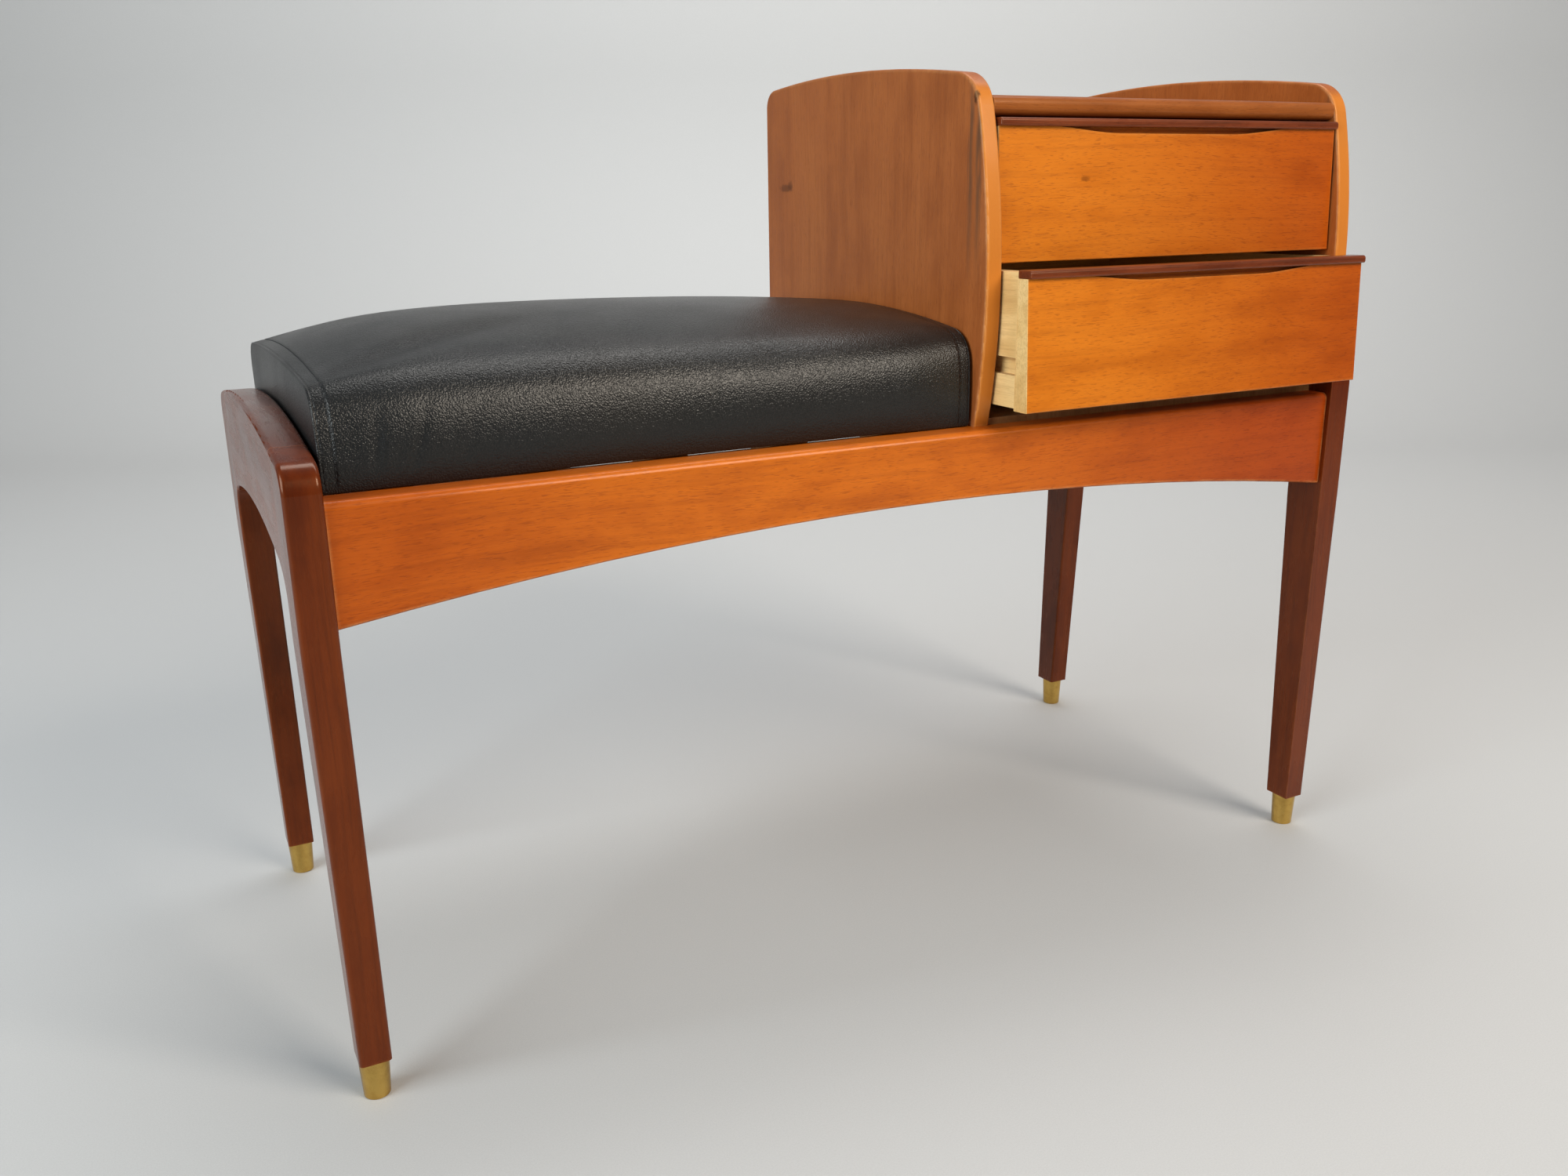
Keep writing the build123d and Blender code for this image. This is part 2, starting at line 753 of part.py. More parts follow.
with BuildPart() as seat_board:
    with BuildSketch(plan_view(slat_top_height)):
        area(
            (cushion_left + seat_board_inset, cushion_front + seat_board_inset),
            (cushion_right - seat_board_inset, cushion_back - seat_board_inset),
        )
    extrude(amount=seat_board_thickness)
    for start in seat_screws:
        screw_hole(start, upwards, seat_screw_length)
save(seat_board, "seat_board")


def foam_block(room):
    """The foam inside the cover, or the space for it."""
    with BuildPart() as block:
        with BuildSketch(plan_view(seat_board_top)):
            area(
                (cushion_left + foam_inset - room, cushion_front + foam_inset - room),
                (cushion_right - foam_inset + room, cushion_back - foam_inset + room),
            )
        extrude(amount=foam_height + room)
        edges = block.edges().filter_by(Axis.Z) + block.edges().group_by(Axis.Z)[-1]
        fillet(edges, foam_edge_radius)
    return block


seat_foam = foam_block(room=0)
save(seat_foam, "seat_foam")

with BuildPart() as seat_cushion:
    loft(sections=[cushion_section(share) for share in cushion_shares])
    end_edges = seat_cushion.faces().filter_by(Axis.X).edges().filter_by(Axis.Y, reverse=True)
    fillet(end_edges, cushion_end_roll)
    with BuildSketch(plan_view(slat_top_height)):
        area(
            (cushion_left + seat_board_inset, cushion_front + seat_board_inset),
            (cushion_right - seat_board_inset, cushion_back - seat_board_inset),
        )
    extrude(amount=seat_board_thickness, mode=Mode.SUBTRACT)
    add(foam_block(room=foam_clearance).part, mode=Mode.SUBTRACT)
save(seat_cushion, "seat_cushion")

with BuildPart() as seat_screw_group:
    for start in seat_screws:
        screw(start, upwards, seat_screw_length)
save(seat_screw_group, "seat_screws")


# ---------------------------------------------------------------- cabinet

def bow(height):
    """Place of the bowed front edge of the cheeks at a height, from the front of the legs."""
    from_middle = height - cheek_bow_height
    return cheek_front + cheek_bow_radius - sqrt(cheek_bow_radius**2 - from_middle**2)


def cheek(along, scribed):
    """Side of the cabinet, with a bowed front edge and a crowned top."""
    with BuildPart() as board:
        with BuildSketch(side_view(along)) as outline:
            with BuildLine():
                front_edge = ThreePointArc(
                    (bow(apron_top_height), apron_top_height),
                    (cheek_front, cheek_bow_height),
                    (bow(cheek_shoulder_height), cheek_shoulder_height),
                )
                top_edge = ThreePointArc(
                    front_edge @ 1, (cheek_peak_back, cheek_top_height),
                    (cheek_back, cheek_top_height - cheek_back_drop),
                )
                Polyline(top_edge @ 1, (cheek_back, apron_top_height), front_edge @ 0)
            make_face()
            top_corners = outline.vertices().sort_by(Axis.Y)[-2:]
            fillet(top_corners.sort_by(Axis.X)[0], cheek_corner_radius)
            back_corners = outline.vertices().group_by(Axis.X)[-1]
            fillet(back_corners.sort_by(Axis.Y)[-1], cheek_back_corner_radius)
            if scribed:
                with BuildLine():
                    crown = ThreePointArc(
                        (0, frame_corner_height),
                        (middle_of_depth, frame_top_height),
                        (bench_depth, frame_corner_height),
                    )
                    Polyline(crown @ 1, (bench_depth, 0), (0, 0), crown @ 0)
                make_face(mode=Mode.SUBTRACT)
        extrude(amount=cheek_thickness)
        outline_edges = board.edges().filter_by(Axis.X, reverse=True)
        fillet(
            outline_edges.filter_by(lambda edge: (edge @ 0.5).Z > frame_top_height + 1),
            cheek_edge_radius,
        )
    return board


drawers = (
    ("upper", upper_drawer_bottom, 0.0),
    ("lower", lower_drawer_bottom, lower_drawer_open),
)
runner_bottoms = [
    drawer_bottom + side_bottom_lift + runner_lift + runner_clearance
    for name, drawer_bottom, opened in drawers
]
runner_screws = [
    (back, bottom + runner_height / 2)
    for bottom in runner_bottoms
    for back in (runner_front + runner_screw_inset, runner_front + runner_length - runner_screw_inset)
]

with BuildPart() as left_cheek:
    add(cheek(left_cheek_outer, scribed=False).part)
    for start in left_shelf_dowels:
        dowel_hole(start, rightwards, cabinet_dowel_diameter, cabinet_dowel_length)
    for start in cheek_screws:
        screw_hole(start, upwards, cheek_screw_length)
    for back, height in runner_screws:
        start = (left_cheek_inner + runner_reach, back, height)
        screw_hole(start, leftwards, runner_screw_length)
save(left_cheek, "left_cheek")

with BuildPart() as right_cheek:
    add(cheek(right_frame, scribed=True).part)
    for start in right_shelf_dowels:
        dowel_hole(start, leftwards, cabinet_dowel_diameter, cabinet_dowel_length)
    for start in rail_cheek_dowels:
        dowel_hole(start, upwards, cabinet_dowel_diameter, cabinet_dowel_length)
    for back, height in runner_screws:
        screw_hole((right_frame - runner_reach, back, height), rightwards, runner_screw_length)
save(right_cheek, "right_cheek")

with BuildPart() as shelf_board:
    with BuildSketch(plan_view(shelf_bottom_height)):
        area(
            (left_cheek_inner, bow(shelf_middle) + shelf_setback),
            (right_frame, back_front_face + back_thickness),
        )
    extrude(amount=shelf_thickness)
    fillet(shelf_board.faces().sort_by(Axis.Y)[0].edges().filter_by(Axis.X), shelf_nose_radius)
    for start in left_shelf_dowels:
        dowel_hole(start, rightwards, cabinet_dowel_diameter, cabinet_dowel_length)
    for start in right_shelf_dowels:
        dowel_hole(start, leftwards, cabinet_dowel_diameter, cabinet_dowel_length)
save(shelf_board, "shelf_board")

with BuildPart() as cabinet_bottom:
    with BuildSketch(plan_view(apron_top_height)):
        area(
            (left_cheek_inner, apron_back_face - base_bearing),
            (right_frame, back_front_face),
        )
    extrude(amount=base_thickness)
save(cabinet_bottom, "cabinet_bottom")

with BuildPart() as cabinet_back_panel:
    with BuildSketch(plan_view(apron_top_height)):
        area(
            (left_cheek_inner, back_front_face),
            (right_frame, back_front_face + back_thickness),
        )
    extrude(amount=shelf_bottom_height - apron_top_height)
save(cabinet_back_panel, "cabinet_back")

with BuildPart() as cabinet_dowels:
    for start in left_shelf_dowels:
        rod(start, rightwards, cabinet_dowel_diameter, cabinet_dowel_length)
    for start in right_shelf_dowels:
        rod(start, leftwards, cabinet_dowel_diameter, cabinet_dowel_length)
    for start in rail_cheek_dowels:
        rod(start, upwards, cabinet_dowel_diameter, cabinet_dowel_length)
    for start in bearer_dowels:
        rod(start, backwards, cabinet_dowel_diameter, cabinet_dowel_length)
        from_back = (start[0], bench_depth - start[1], start[2])
        rod(from_back, forwards, cabinet_dowel_diameter, cabinet_dowel_length)
save(cabinet_dowels, "cabinet_dowels")

with BuildPart() as cheek_screw_group:
    for start in cheek_screws:
        screw(start, upwards, cheek_screw_length)
save(cheek_screw_group, "cheek_screws")

drawer_middle = (drawer_left + drawer_right) / 2
mirror_drawer = Plane(origin=place(drawer_middle, 0, 0), z_dir=rightwards)

for (name, drawer_bottom, opened), runner_bottom in zip(drawers, runner_bottoms):
    with BuildPart() as left_runner:
        with BuildSketch(plan_view(runner_bottom)):
            area(
                (left_cheek_inner, runner_front),
                (left_cheek_inner + runner_reach, runner_front + runner_length),
            )
        extrude(amount=runner_height)
        for back, height in runner_screws:
            if runner_bottom < height < runner_bottom + runner_height:
                start = (left_cheek_inner + runner_reach, back, height)
                screw_hole(start, leftwards, runner_screw_length)
    save(left_runner, f"{name}_left_runner")

    with BuildPart() as right_runner:
        add(left_runner.part)
        mirror(about=mirror_drawer, mode=Mode.REPLACE)
    save(right_runner, f"{name}_right_runner")

with BuildPart() as runner_screw_group:
    for back, height in runner_screws:
        start = (left_cheek_inner + runner_reach, back, height)
        screw(start, leftwards, runner_screw_length)
    mirror(about=mirror_drawer)
save(runner_screw_group, "runner_screws")


# ---------------------------------------------------------------- drawers


def finger_hollow(face, board_top):
    """Hollow in the upper edge of a drawer front that fades out sideways."""
    with BuildSketch(front_view(face)) as outline:
        with BuildLine():
            high = board_top + hollow_fade
            low = board_top - hollow_drop
            fade = Spline(
                (drawer_middle + hollow_width / 2, high),
                (drawer_middle + hollow_flat_width / 2, low),
                tangents=[(-1, 0), (-1, 0)],
            )
            other_fade = Spline(
                (drawer_middle - hollow_flat_width / 2, low),
                (drawer_middle - hollow_width / 2, high),
                tangents=[(-1, 0), (-1, 0)],
            )
            Line(fade @ 1, other_fade @ 0)
            Line(other_fade @ 1, fade @ 0)
        make_face()
    return outline.sketch


for name, drawer_bottom, opened in drawers:
    face = closed_face - opened
    face_top = face + drawer_front_lean
    board_back = face + drawer_front_thickness
    board_top = drawer_bottom + front_board_height
    drawer_end = face + drawer_depth
    side_bottom = drawer_bottom + side_bottom_lift
    side_top = drawer_bottom + drawer_front_height - side_top_drop
    tongue_top = side_top - tongue_shoulder
    side_inner = drawer_left + side_thickness
    bottom_low = side_bottom + bottom_groove_lift + joint_clearance
    bottom_high = bottom_low + bottom_thickness
    groove_low = bottom_low - joint_clearance
    groove_rise = bottom_thickness + 2 * joint_clearance
    back_rear = drawer_end - drawer_back_inset
    back_front = back_rear - drawer_back_thickness
    back_top = side_top - drawer_back_drop

    with BuildPart() as drawer_front:
        with BuildSketch(side_view(drawer_left)):
            with BuildLine():
                Polyline(
                    (face, drawer_bottom), (face_top, board_top), (board_back, board_top),
                    (board_back, drawer_bottom), close=True,
                )
            make_face()
        extrude(amount=drawer_right - drawer_left)
        face_edges = drawer_front.faces().sort_by(Axis.Y)[0].edges()
        fillet(face_edges.sort_by(Axis.Z)[:-1], drawer_front_edge_radius)
        hollow_depth = drawer_front_lean + hollow_reach
        extrude(finger_hollow(face, board_top), amount=-hollow_depth, mode=Mode.SUBTRACT)
        with BuildSketch(plan_view(side_bottom - joint_clearance)):
            tongue_front = board_back - tongue_length - joint_clearance
            inner_tongue = side_inner - tongue_thickness - joint_clearance
            area((inner_tongue, tongue_front), (side_inner + joint_clearance, board_back))
            area(
                (2 * drawer_middle - side_inner - joint_clearance, tongue_front),
                (2 * drawer_middle - inner_tongue, board_back),
            )
        extrude(amount=tongue_top - side_bottom + 2 * joint_clearance, mode=Mode.SUBTRACT)
        with BuildSketch(plan_view(groove_low)):
            area(
                (side_inner - bottom_groove_depth, board_back - bottom_groove_depth),
                (2 * drawer_middle - side_inner + bottom_groove_depth, board_back),
            )
        extrude(amount=groove_rise, mode=Mode.SUBTRACT)
    save(drawer_front, f"{name}_drawer_front")

    with BuildPart() as drawer_pull:
        with BuildSketch(side_view(drawer_left)) as profile:
            area((face_top - pull_overhang, board_top), (board_back, board_top + pull_thickness))
            nose_corners = profile.vertices().group_by(Axis.X)[0]
            fillet(nose_corners.sort_by(Axis.Y)[0], pull_underside_radius)
            nose_corners = profile.vertices().group_by(Axis.X)[0]
            fillet(nose_corners.sort_by(Axis.Y)[-1], pull_nose_radius)
        extrude(amount=drawer_right - drawer_left)
        nose_face = drawer_pull.faces().filter_by(Axis.Y).sort_by(Axis.Y)[0]
        fillet(nose_face.edges().filter_by(Axis.Z), pull_end_radius)
    save(drawer_pull, f"{name}_drawer_pull")

    with BuildPart() as left_side:
        with BuildSketch(plan_view(side_bottom)):
            area((drawer_left, board_back), (side_inner, drawer_end))
        extrude(amount=side_top - side_bottom)
        with BuildSketch(plan_view(side_bottom)):
            area((side_inner - tongue_thickness, board_back - tongue_length), (side_inner, board_back))
        extrude(amount=tongue_top - side_bottom)
        with BuildSketch(plan_view(side_bottom + runner_lift)):
            area((drawer_left, board_back), (drawer_left + groove_depth, drawer_end))
        extrude(amount=groove_height, mode=Mode.SUBTRACT)
        with BuildSketch(plan_view(groove_low)):
            area((side_inner - bottom_groove_depth, board_back - tongue_length), (side_inner, drawer_end))
        extrude(amount=groove_rise, mode=Mode.SUBTRACT)
        with BuildSketch(plan_view(bottom_high)):
            area(
                (side_inner - drawer_back_housing, back_front - joint_clearance),
                (side_inner, back_rear + joint_clearance),
            )
        extrude(amount=back_top + joint_clearance - bottom_high, mode=Mode.SUBTRACT)
    save(left_side, f"{name}_drawer_left_side")

    with BuildPart() as right_side:
        add(left_side.part)
        mirror(about=mirror_drawer, mode=Mode.REPLACE)
    save(right_side, f"{name}_drawer_right_side")

    with BuildPart() as drawer_back:
        housed = drawer_back_housing - joint_clearance
        with BuildSketch(plan_view(bottom_high)):
            area(
                (side_inner - housed, back_front),
                (2 * drawer_middle - side_inner + housed, back_rear),
            )
        extrude(amount=back_top - bottom_high)
    save(drawer_back, f"{name}_drawer_back")

    with BuildPart() as drawer_bottom_panel:
        held = bottom_groove_depth - joint_clearance
        with BuildSketch(plan_view(bottom_low)):
            area(
                (side_inner - held, board_back - held),
                (2 * drawer_middle - side_inner + held, back_rear),
            )
        extrude(amount=bottom_thickness)
    save(drawer_bottom_panel, f"{name}_drawer_bottom")
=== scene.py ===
# %% [markdown]
# # A telephone bench, dressed in Blender
# The bench is a padded seat on two arched end frames, with a small two-drawer cabinet at its
# right end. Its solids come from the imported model, which this script loads and leaves as they
# are. What is added here is what a solid model leaves out: the woods with their grain, the
# stuffed cover of the seat with its seams and stitches, aged brass, a floor and soft light.

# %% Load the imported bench
import math

import bmesh
import bpy
from mathutils import Matrix, Vector
from mathutils.bvhtree import BVHTree


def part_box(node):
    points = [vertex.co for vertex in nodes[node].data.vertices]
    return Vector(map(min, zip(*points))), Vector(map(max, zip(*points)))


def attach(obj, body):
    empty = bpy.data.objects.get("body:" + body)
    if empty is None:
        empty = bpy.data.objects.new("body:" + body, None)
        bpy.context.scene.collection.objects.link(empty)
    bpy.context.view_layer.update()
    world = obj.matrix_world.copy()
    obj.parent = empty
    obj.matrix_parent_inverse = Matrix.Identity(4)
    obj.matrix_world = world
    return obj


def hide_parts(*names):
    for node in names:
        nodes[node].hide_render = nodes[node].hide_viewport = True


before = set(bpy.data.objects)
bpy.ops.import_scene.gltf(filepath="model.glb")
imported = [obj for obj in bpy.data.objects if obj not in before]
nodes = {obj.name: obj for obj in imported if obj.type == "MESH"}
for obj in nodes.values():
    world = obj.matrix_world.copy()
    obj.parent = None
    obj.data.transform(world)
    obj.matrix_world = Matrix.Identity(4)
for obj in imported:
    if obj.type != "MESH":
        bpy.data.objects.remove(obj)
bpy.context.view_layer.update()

# %% [markdown]
# ## The camera
# The camera stands where the photograph was taken from: a little above the seat, in front of the
# left end, and turned towards the cabinet. Its place and angles were worked out from corners of
# the bench whose places are known. A Blender camera looks along its own -Z, so its three axes are
# written as a matrix.

# %% Camera
photo_width = 2000
focal_length = 1680.65  # in pixels of the photograph
camera_place = Vector((-0.51825, -0.97439, 0.58613))
turn, tilt, lean = math.radians(26.864), math.radians(16.764), math.radians(-0.774)

ahead = Vector((math.sin(turn) * math.cos(tilt), math.cos(turn) * math.cos(tilt), -math.sin(tilt)))
level = Vector((math.cos(turn), -math.sin(turn), 0))
upward = level.cross(ahead)
across = math.cos(lean) * level + math.sin(lean) * upward
above = -math.sin(lean) * level + math.cos(lean) * upward

camera_data = bpy.data.cameras.new("photo_camera")
camera_data.sensor_width = 36  # millimetres
camera_data.lens = focal_length / photo_width * camera_data.sensor_width
camera = bpy.data.objects.new("photo_camera", camera_data)
bpy.context.scene.collection.objects.link(camera)
axes = Matrix((across, above, -ahead)).transposed().to_4x4()
camera.matrix_world = Matrix.Translation(camera_place) @ axes
camera_data.clip_start, camera_data.clip_end = 0.02, 60
bpy.context.scene.camera = camera
print("lens:", round(camera_data.lens, 2), "mm")


# %% [markdown]
# ## Small helpers for nodes
# Every finish below is a node tree. One helper adds a node, sets its settings, and fills each
# input with a number or with the output of another node. Short ones on top of it do sums, mix
# colours and make noise. Another opens a node group with named inputs and outputs, for an effect
# that several materials share.

# %% Helpers for node trees
def feed(tree, inputs, values):
    """Fills a node's inputs with numbers, colours or other nodes' outputs."""
    for name, value in values.items():
        if isinstance(value, bpy.types.NodeSocket):
            tree.links.new(value, inputs[name])
        else:
            inputs[name].default_value = value


def put(tree, kind, inputs=None, **settings):
    """Adds a node, sets its settings and fills its inputs."""
    node = tree.nodes.new(kind)
    for name, value in settings.items():
        setattr(node, name, value)
    feed(tree, node.inputs, inputs or {})
    return node


def maths(tree, operation, *values, clamp=False):
    """One sum on numbers or sockets."""
    inputs = dict(enumerate(values))
    return put(tree, "ShaderNodeMath", inputs, operation=operation, use_clamp=clamp).outputs[0]


def times(tree, first, second, clamp=False):
    """The product of two numbers or sockets."""
    return maths(tree, "MULTIPLY", first, second, clamp=clamp)


def plus(tree, first, second):
    """The sum of two numbers or sockets."""
    return maths(tree, "ADD", first, second)


def vector_maths(tree, operation, *values, gives="Vector"):
    """One sum on places or directions."""
    inputs = dict(enumerate(values))
    return put(tree, "ShaderNodeVectorMath", inputs, operation=operation).outputs[gives]


def along_axis(tree, place, axis):
    """One of the three numbers of a place or a direction."""
    return put(tree, "ShaderNodeSeparateXYZ", {0: place}).outputs[axis]


def blend_colours(tree, share, first, second, kind="MIX"):
    """Mixes two colours."""
    inputs = {0: share, 6: first, 7: second}
    node = put(tree, "ShaderNodeMix", inputs, data_type="RGBA", blend_type=kind, clamp_factor=True)
    return node.outputs[2]


def between(tree, value, low, high, start=0.0, end=1.0, smooth=False):
    """Stretches the range from low to high of a value over start to end."""
    inputs = {0: value, 1: low, 2: high, 3: start, 4: end}
    ramp = "SMOOTHSTEP" if smooth else "LINEAR"
    return put(tree, "ShaderNodeMapRange", inputs, interpolation_type=ramp).outputs[0]


def clouds(tree, place, scale=1.0, detail=2.0, roughness=0.5):
    """Noise at a place."""
    inputs = {"Vector": place, "Scale": scale, "Detail": detail, "Roughness": roughness}
    return put(tree, "ShaderNodeTexNoise", inputs)


def stretch(tree, place, sizes, shift=(0.0, 0.0, 0.0), turned=(0.0, 0.0, 0.0)):
    """Scales, turns and shifts a place."""
    inputs = {"Vector": place, "Scale": sizes, "Location": shift, "Rotation": turned}
    return put(tree, "ShaderNodeMapping", inputs).outputs[0]


def open_group(name, takes, gives):
    """A node group with named inputs and outputs."""
    group = bpy.data.node_groups.new(name, "ShaderNodeTree")
    add = group.interface.new_socket
    for label, kind, value in takes:
        socket = add(name=label, in_out="INPUT", socket_type="NodeSocket" + kind)
        if value is not None:
            socket.default_value = value
    for label, kind in gives:
        add(name=label, in_out="OUTPUT", socket_type="NodeSocket" + kind)
    taken = put(group, "NodeGroupInput").outputs
    given = put(group, "NodeGroupOutput").inputs
    return group, taken, given


def place_group(tree, group, inputs):
    """Puts a group into a material."""
    return put(tree, "ShaderNodeGroup", inputs, node_tree=group)


def bumped(tree, strength, distance, height):
    """The direction of a surface that follows a height."""
    inputs = {"Strength": strength, "Distance": distance, "Height": height}
    return put(tree, "ShaderNodeBump", inputs).outputs[0]


def open_material(name):
    """A new material: its tree, its shader, and the place of each point on the piece."""
    material = bpy.data.materials.new(name)
    material.use_nodes = True
    tree = material.node_tree
    shader = tree.nodes["Principled BSDF"]
    place = put(tree, "ShaderNodeTexCoord").outputs["Object"]
    return material, tree, shader, place


def colour(red, green, blue):
    """A colour with its alpha."""
    return (red, green, blue, 1.0)


print("helpers ready")

# %% [markdown]
# ## Wood grain
# Oiled and lacquered teak looks almost even from a distance. Close by it shows soft bands and
# cloudy spots a few centimetres long, thin streaks along the board, short dark pores and a few
# pale flecks. All of them are noise that is stretched along the grain, and a slow wander keeps
# the streaks from being ruled. The group reads places whose X runs along the grain, so one group
# serves boards that lie in any direction. It is solid noise, so the end of a board shows the cut
# ends of the same streaks, as real wood does.

# %% Group: wood grain
wood_grain, taken, given = open_group(
    "wood_grain",
    [
        ("Place", "Vector", None),
        ("Body", "Color", colour(0.5, 0.2, 0.05)),
        ("Pale", "Color", colour(0.6, 0.3, 0.1)),
        ("Dark", "Color", colour(0.2, 0.06, 0.02)),
        ("Bands", "Float", 0.6),
        ("Lines", "Float", 0.4),
        ("Pores", "Float", 0.5),
    ],
    [("Color", "Color"), ("Height", "Float"), ("Sheen", "Float")],
)
wander = clouds(wood_grain, taken["Place"], scale=3.0, detail=1.0).outputs["Color"]
wander = vector_maths(wood_grain, "SUBTRACT", wander, (0.5, 0.5, 0.5))
wander_sideways = (0.0, 0.022, 0.022)
along_grain = vector_maths(wood_grain, "MULTIPLY_ADD", wander, wander_sideways, taken["Place"])


def figure_of(sizes, detail, roughness, low, high, shift=(0.0, 0.0, 0.0)):
    """Noise stretched along the grain, cut to the range from low to high."""
    spread = stretch(wood_grain, along_grain, sizes, shift=shift)
    noise = clouds(wood_grain, spread, detail=detail, roughness=roughness).outputs[0]
    return between(wood_grain, noise, low, high, smooth=True)


band = figure_of((1.8, 30, 30), 3, 0.5, 0.32, 0.68)
mottle = figure_of((17, 36, 36), 3, 0.55, 0.30, 0.70, (2.2, 5.1, 1.4))
streak = figure_of((8, 150, 150), 3, 0.55, 0.48, 0.74, (6.3, 1.9, 4.4))
line = figure_of((9, 520, 520), 3, 0.6, 0.45, 0.72)
pore = figure_of((140, 1500, 1500), 1, 0.5, 0.57, 0.68)
fleck = figure_of((110, 1100, 1100), 1, 0.5, 0.66, 0.74, (3.1, 7.7, 5.3))

bands = taken["Bands"]
light_share = times(wood_grain, plus(wood_grain, band, mottle), 0.5)
pale_share = times(wood_grain, light_share, bands)
tone = blend_colours(wood_grain, pale_share, taken["Body"], taken["Pale"])
shade = times(wood_grain, between(wood_grain, light_share, 0.5, 0.05), 0.5)
tone = blend_colours(wood_grain, times(wood_grain, shade, bands), tone, taken["Dark"])
streak_share = times(wood_grain, streak, times(wood_grain, bands, 0.45))
tone = blend_colours(wood_grain, streak_share, tone, taken["Dark"])
tone = blend_colours(wood_grain, times(wood_grain, line, taken["Lines"]), tone, taken["Dark"])
fleck_share = times(wood_grain, fleck, times(wood_grain, taken["Pores"], 0.9))
tone = blend_colours(wood_grain, fleck_share, tone, taken["Pale"])
tone = blend_colours(wood_grain, times(wood_grain, pore, taken["Pores"]), tone, taken["Dark"])
height = maths(wood_grain, "SUBTRACT", 1.0, times(wood_grain, pore, taken["Pores"]))
fine_lines = times(wood_grain, line, times(wood_grain, taken["Lines"], 0.5))
height = maths(wood_grain, "SUBTRACT", height, fine_lines)
sheen = plus(wood_grain, times(wood_grain, line, 0.5), mottle)
feed(wood_grain, given, {"Color": tone, "Height": height, "Sheen": sheen})
print("group:", wood_grain.name)

# %% [markdown]
# ## Worn edges
# Hands and cloths rub the lacquer off the edges first. The Bevel node gives the direction a
# surface would have if its edges were rounder, and where that differs from the real direction
# there is an edge. Noise breaks the mask up, because wear is never even.

# %% Group: worn edges
worn_edges, taken, given = open_group(
    "worn_edges",
    [("Place", "Vector", None), ("Reach", "Float", 0.003), ("Amount", "Float", 1.0)],
    [("Mask", "Float"), ("Chips", "Float")],
)
rounder = put(worn_edges, "ShaderNodeBevel", {"Radius": taken["Reach"]}, samples=4).outputs[0]
facing = put(worn_edges, "ShaderNodeNewGeometry").outputs["Normal"]
match = vector_maths(worn_edges, "DOT_PRODUCT", rounder, facing, gives="Value")
edge = between(worn_edges, match, 0.995, 0.86)
broken = between(worn_edges, clouds(worn_edges, taken["Place"], 60, 4, 0.65).outputs[0], 0.38, 0.62)
mask = times(worn_edges, edge, plus(worn_edges, broken, 0.25), clamp=True)
worn = times(worn_edges, mask, taken["Amount"])
chipped = between(worn_edges, clouds(worn_edges, taken["Place"], 85, 3, 0.6).outputs[0], 0.64, 0.7)
chips = times(worn_edges, edge, chipped, clamp=True)
feed(worn_edges, given, {"Mask": worn, "Chips": chips})
print("group:", worn_edges.name)

# %% [markdown]
# ## Dust
# A used piece holds a little dust on the faces that look up. The mask is the upward part of the
# surface's direction, broken by noise.

# %% Group: dust
settled_dust, taken, given = open_group(
    "settled_dust", [("Place", "Vector", None), ("Amount", "Float", 0.1)], [("Mask", "Float")]
)
facing = put(settled_dust, "ShaderNodeNewGeometry").outputs["Normal"]
lying = between(settled_dust, along_axis(settled_dust, facing, "Z"), 0.6, 1.0)
patches = clouds(settled_dust, taken["Place"], 26, 5, 0.7).outputs[0]
patchy = between(settled_dust, patches, 0.35, 0.75)
dusty = times(settled_dust, times(settled_dust, lying, patchy), taken["Amount"])
feed(settled_dust, given, {"Mask": dusty})
print("group:", settled_dust.name)

# %% [markdown]
# ## Knots and dark marks
# A few boards carry a small dark knot. It is an ellipse around a point of the piece, with a
# ragged rim.

# %% Group: knot
dark_knot, taken, given = open_group(
    "dark_knot",
    [
        ("Place", "Vector", None),
        ("Middle", "Vector", (0, 0, 0)),
        ("Sizes", "Vector", (0.01, 0.01, 0.01)),
    ],
    [("Mask", "Float")],
)
off = vector_maths(dark_knot, "SUBTRACT", taken["Place"], taken["Middle"])
off = vector_maths(dark_knot, "DIVIDE", off, taken["Sizes"])
far = vector_maths(dark_knot, "LENGTH", off, gives="Value")
ragged = clouds(dark_knot, taken["Place"], 320, 3, 0.6).outputs[0]
far = plus(dark_knot, far, times(dark_knot, maths(dark_knot, "SUBTRACT", ragged, 0.5), 0.9))
feed(dark_knot, given, {"Mask": between(dark_knot, far, 1.0, 0.35, smooth=True)})
print("group:", dark_knot.name)

# %% [markdown]
# ## Lacquered woods
# All the wood on show is finished with a satin lacquer: the grain lies under a clear coat, so the
# shader has a coat as well as a rougher body. One function mixes a wood from three tones and the
# direction of its grain. The turn puts the grain on the group's X axis, and the shift keeps two
# boards from being cut from the same place.

# %% Woods
ALONG_X, ALONG_Y, ALONG_Z = (0, 0, 0), (0, 0, -math.pi / 2), (0, math.pi / 2, 0)


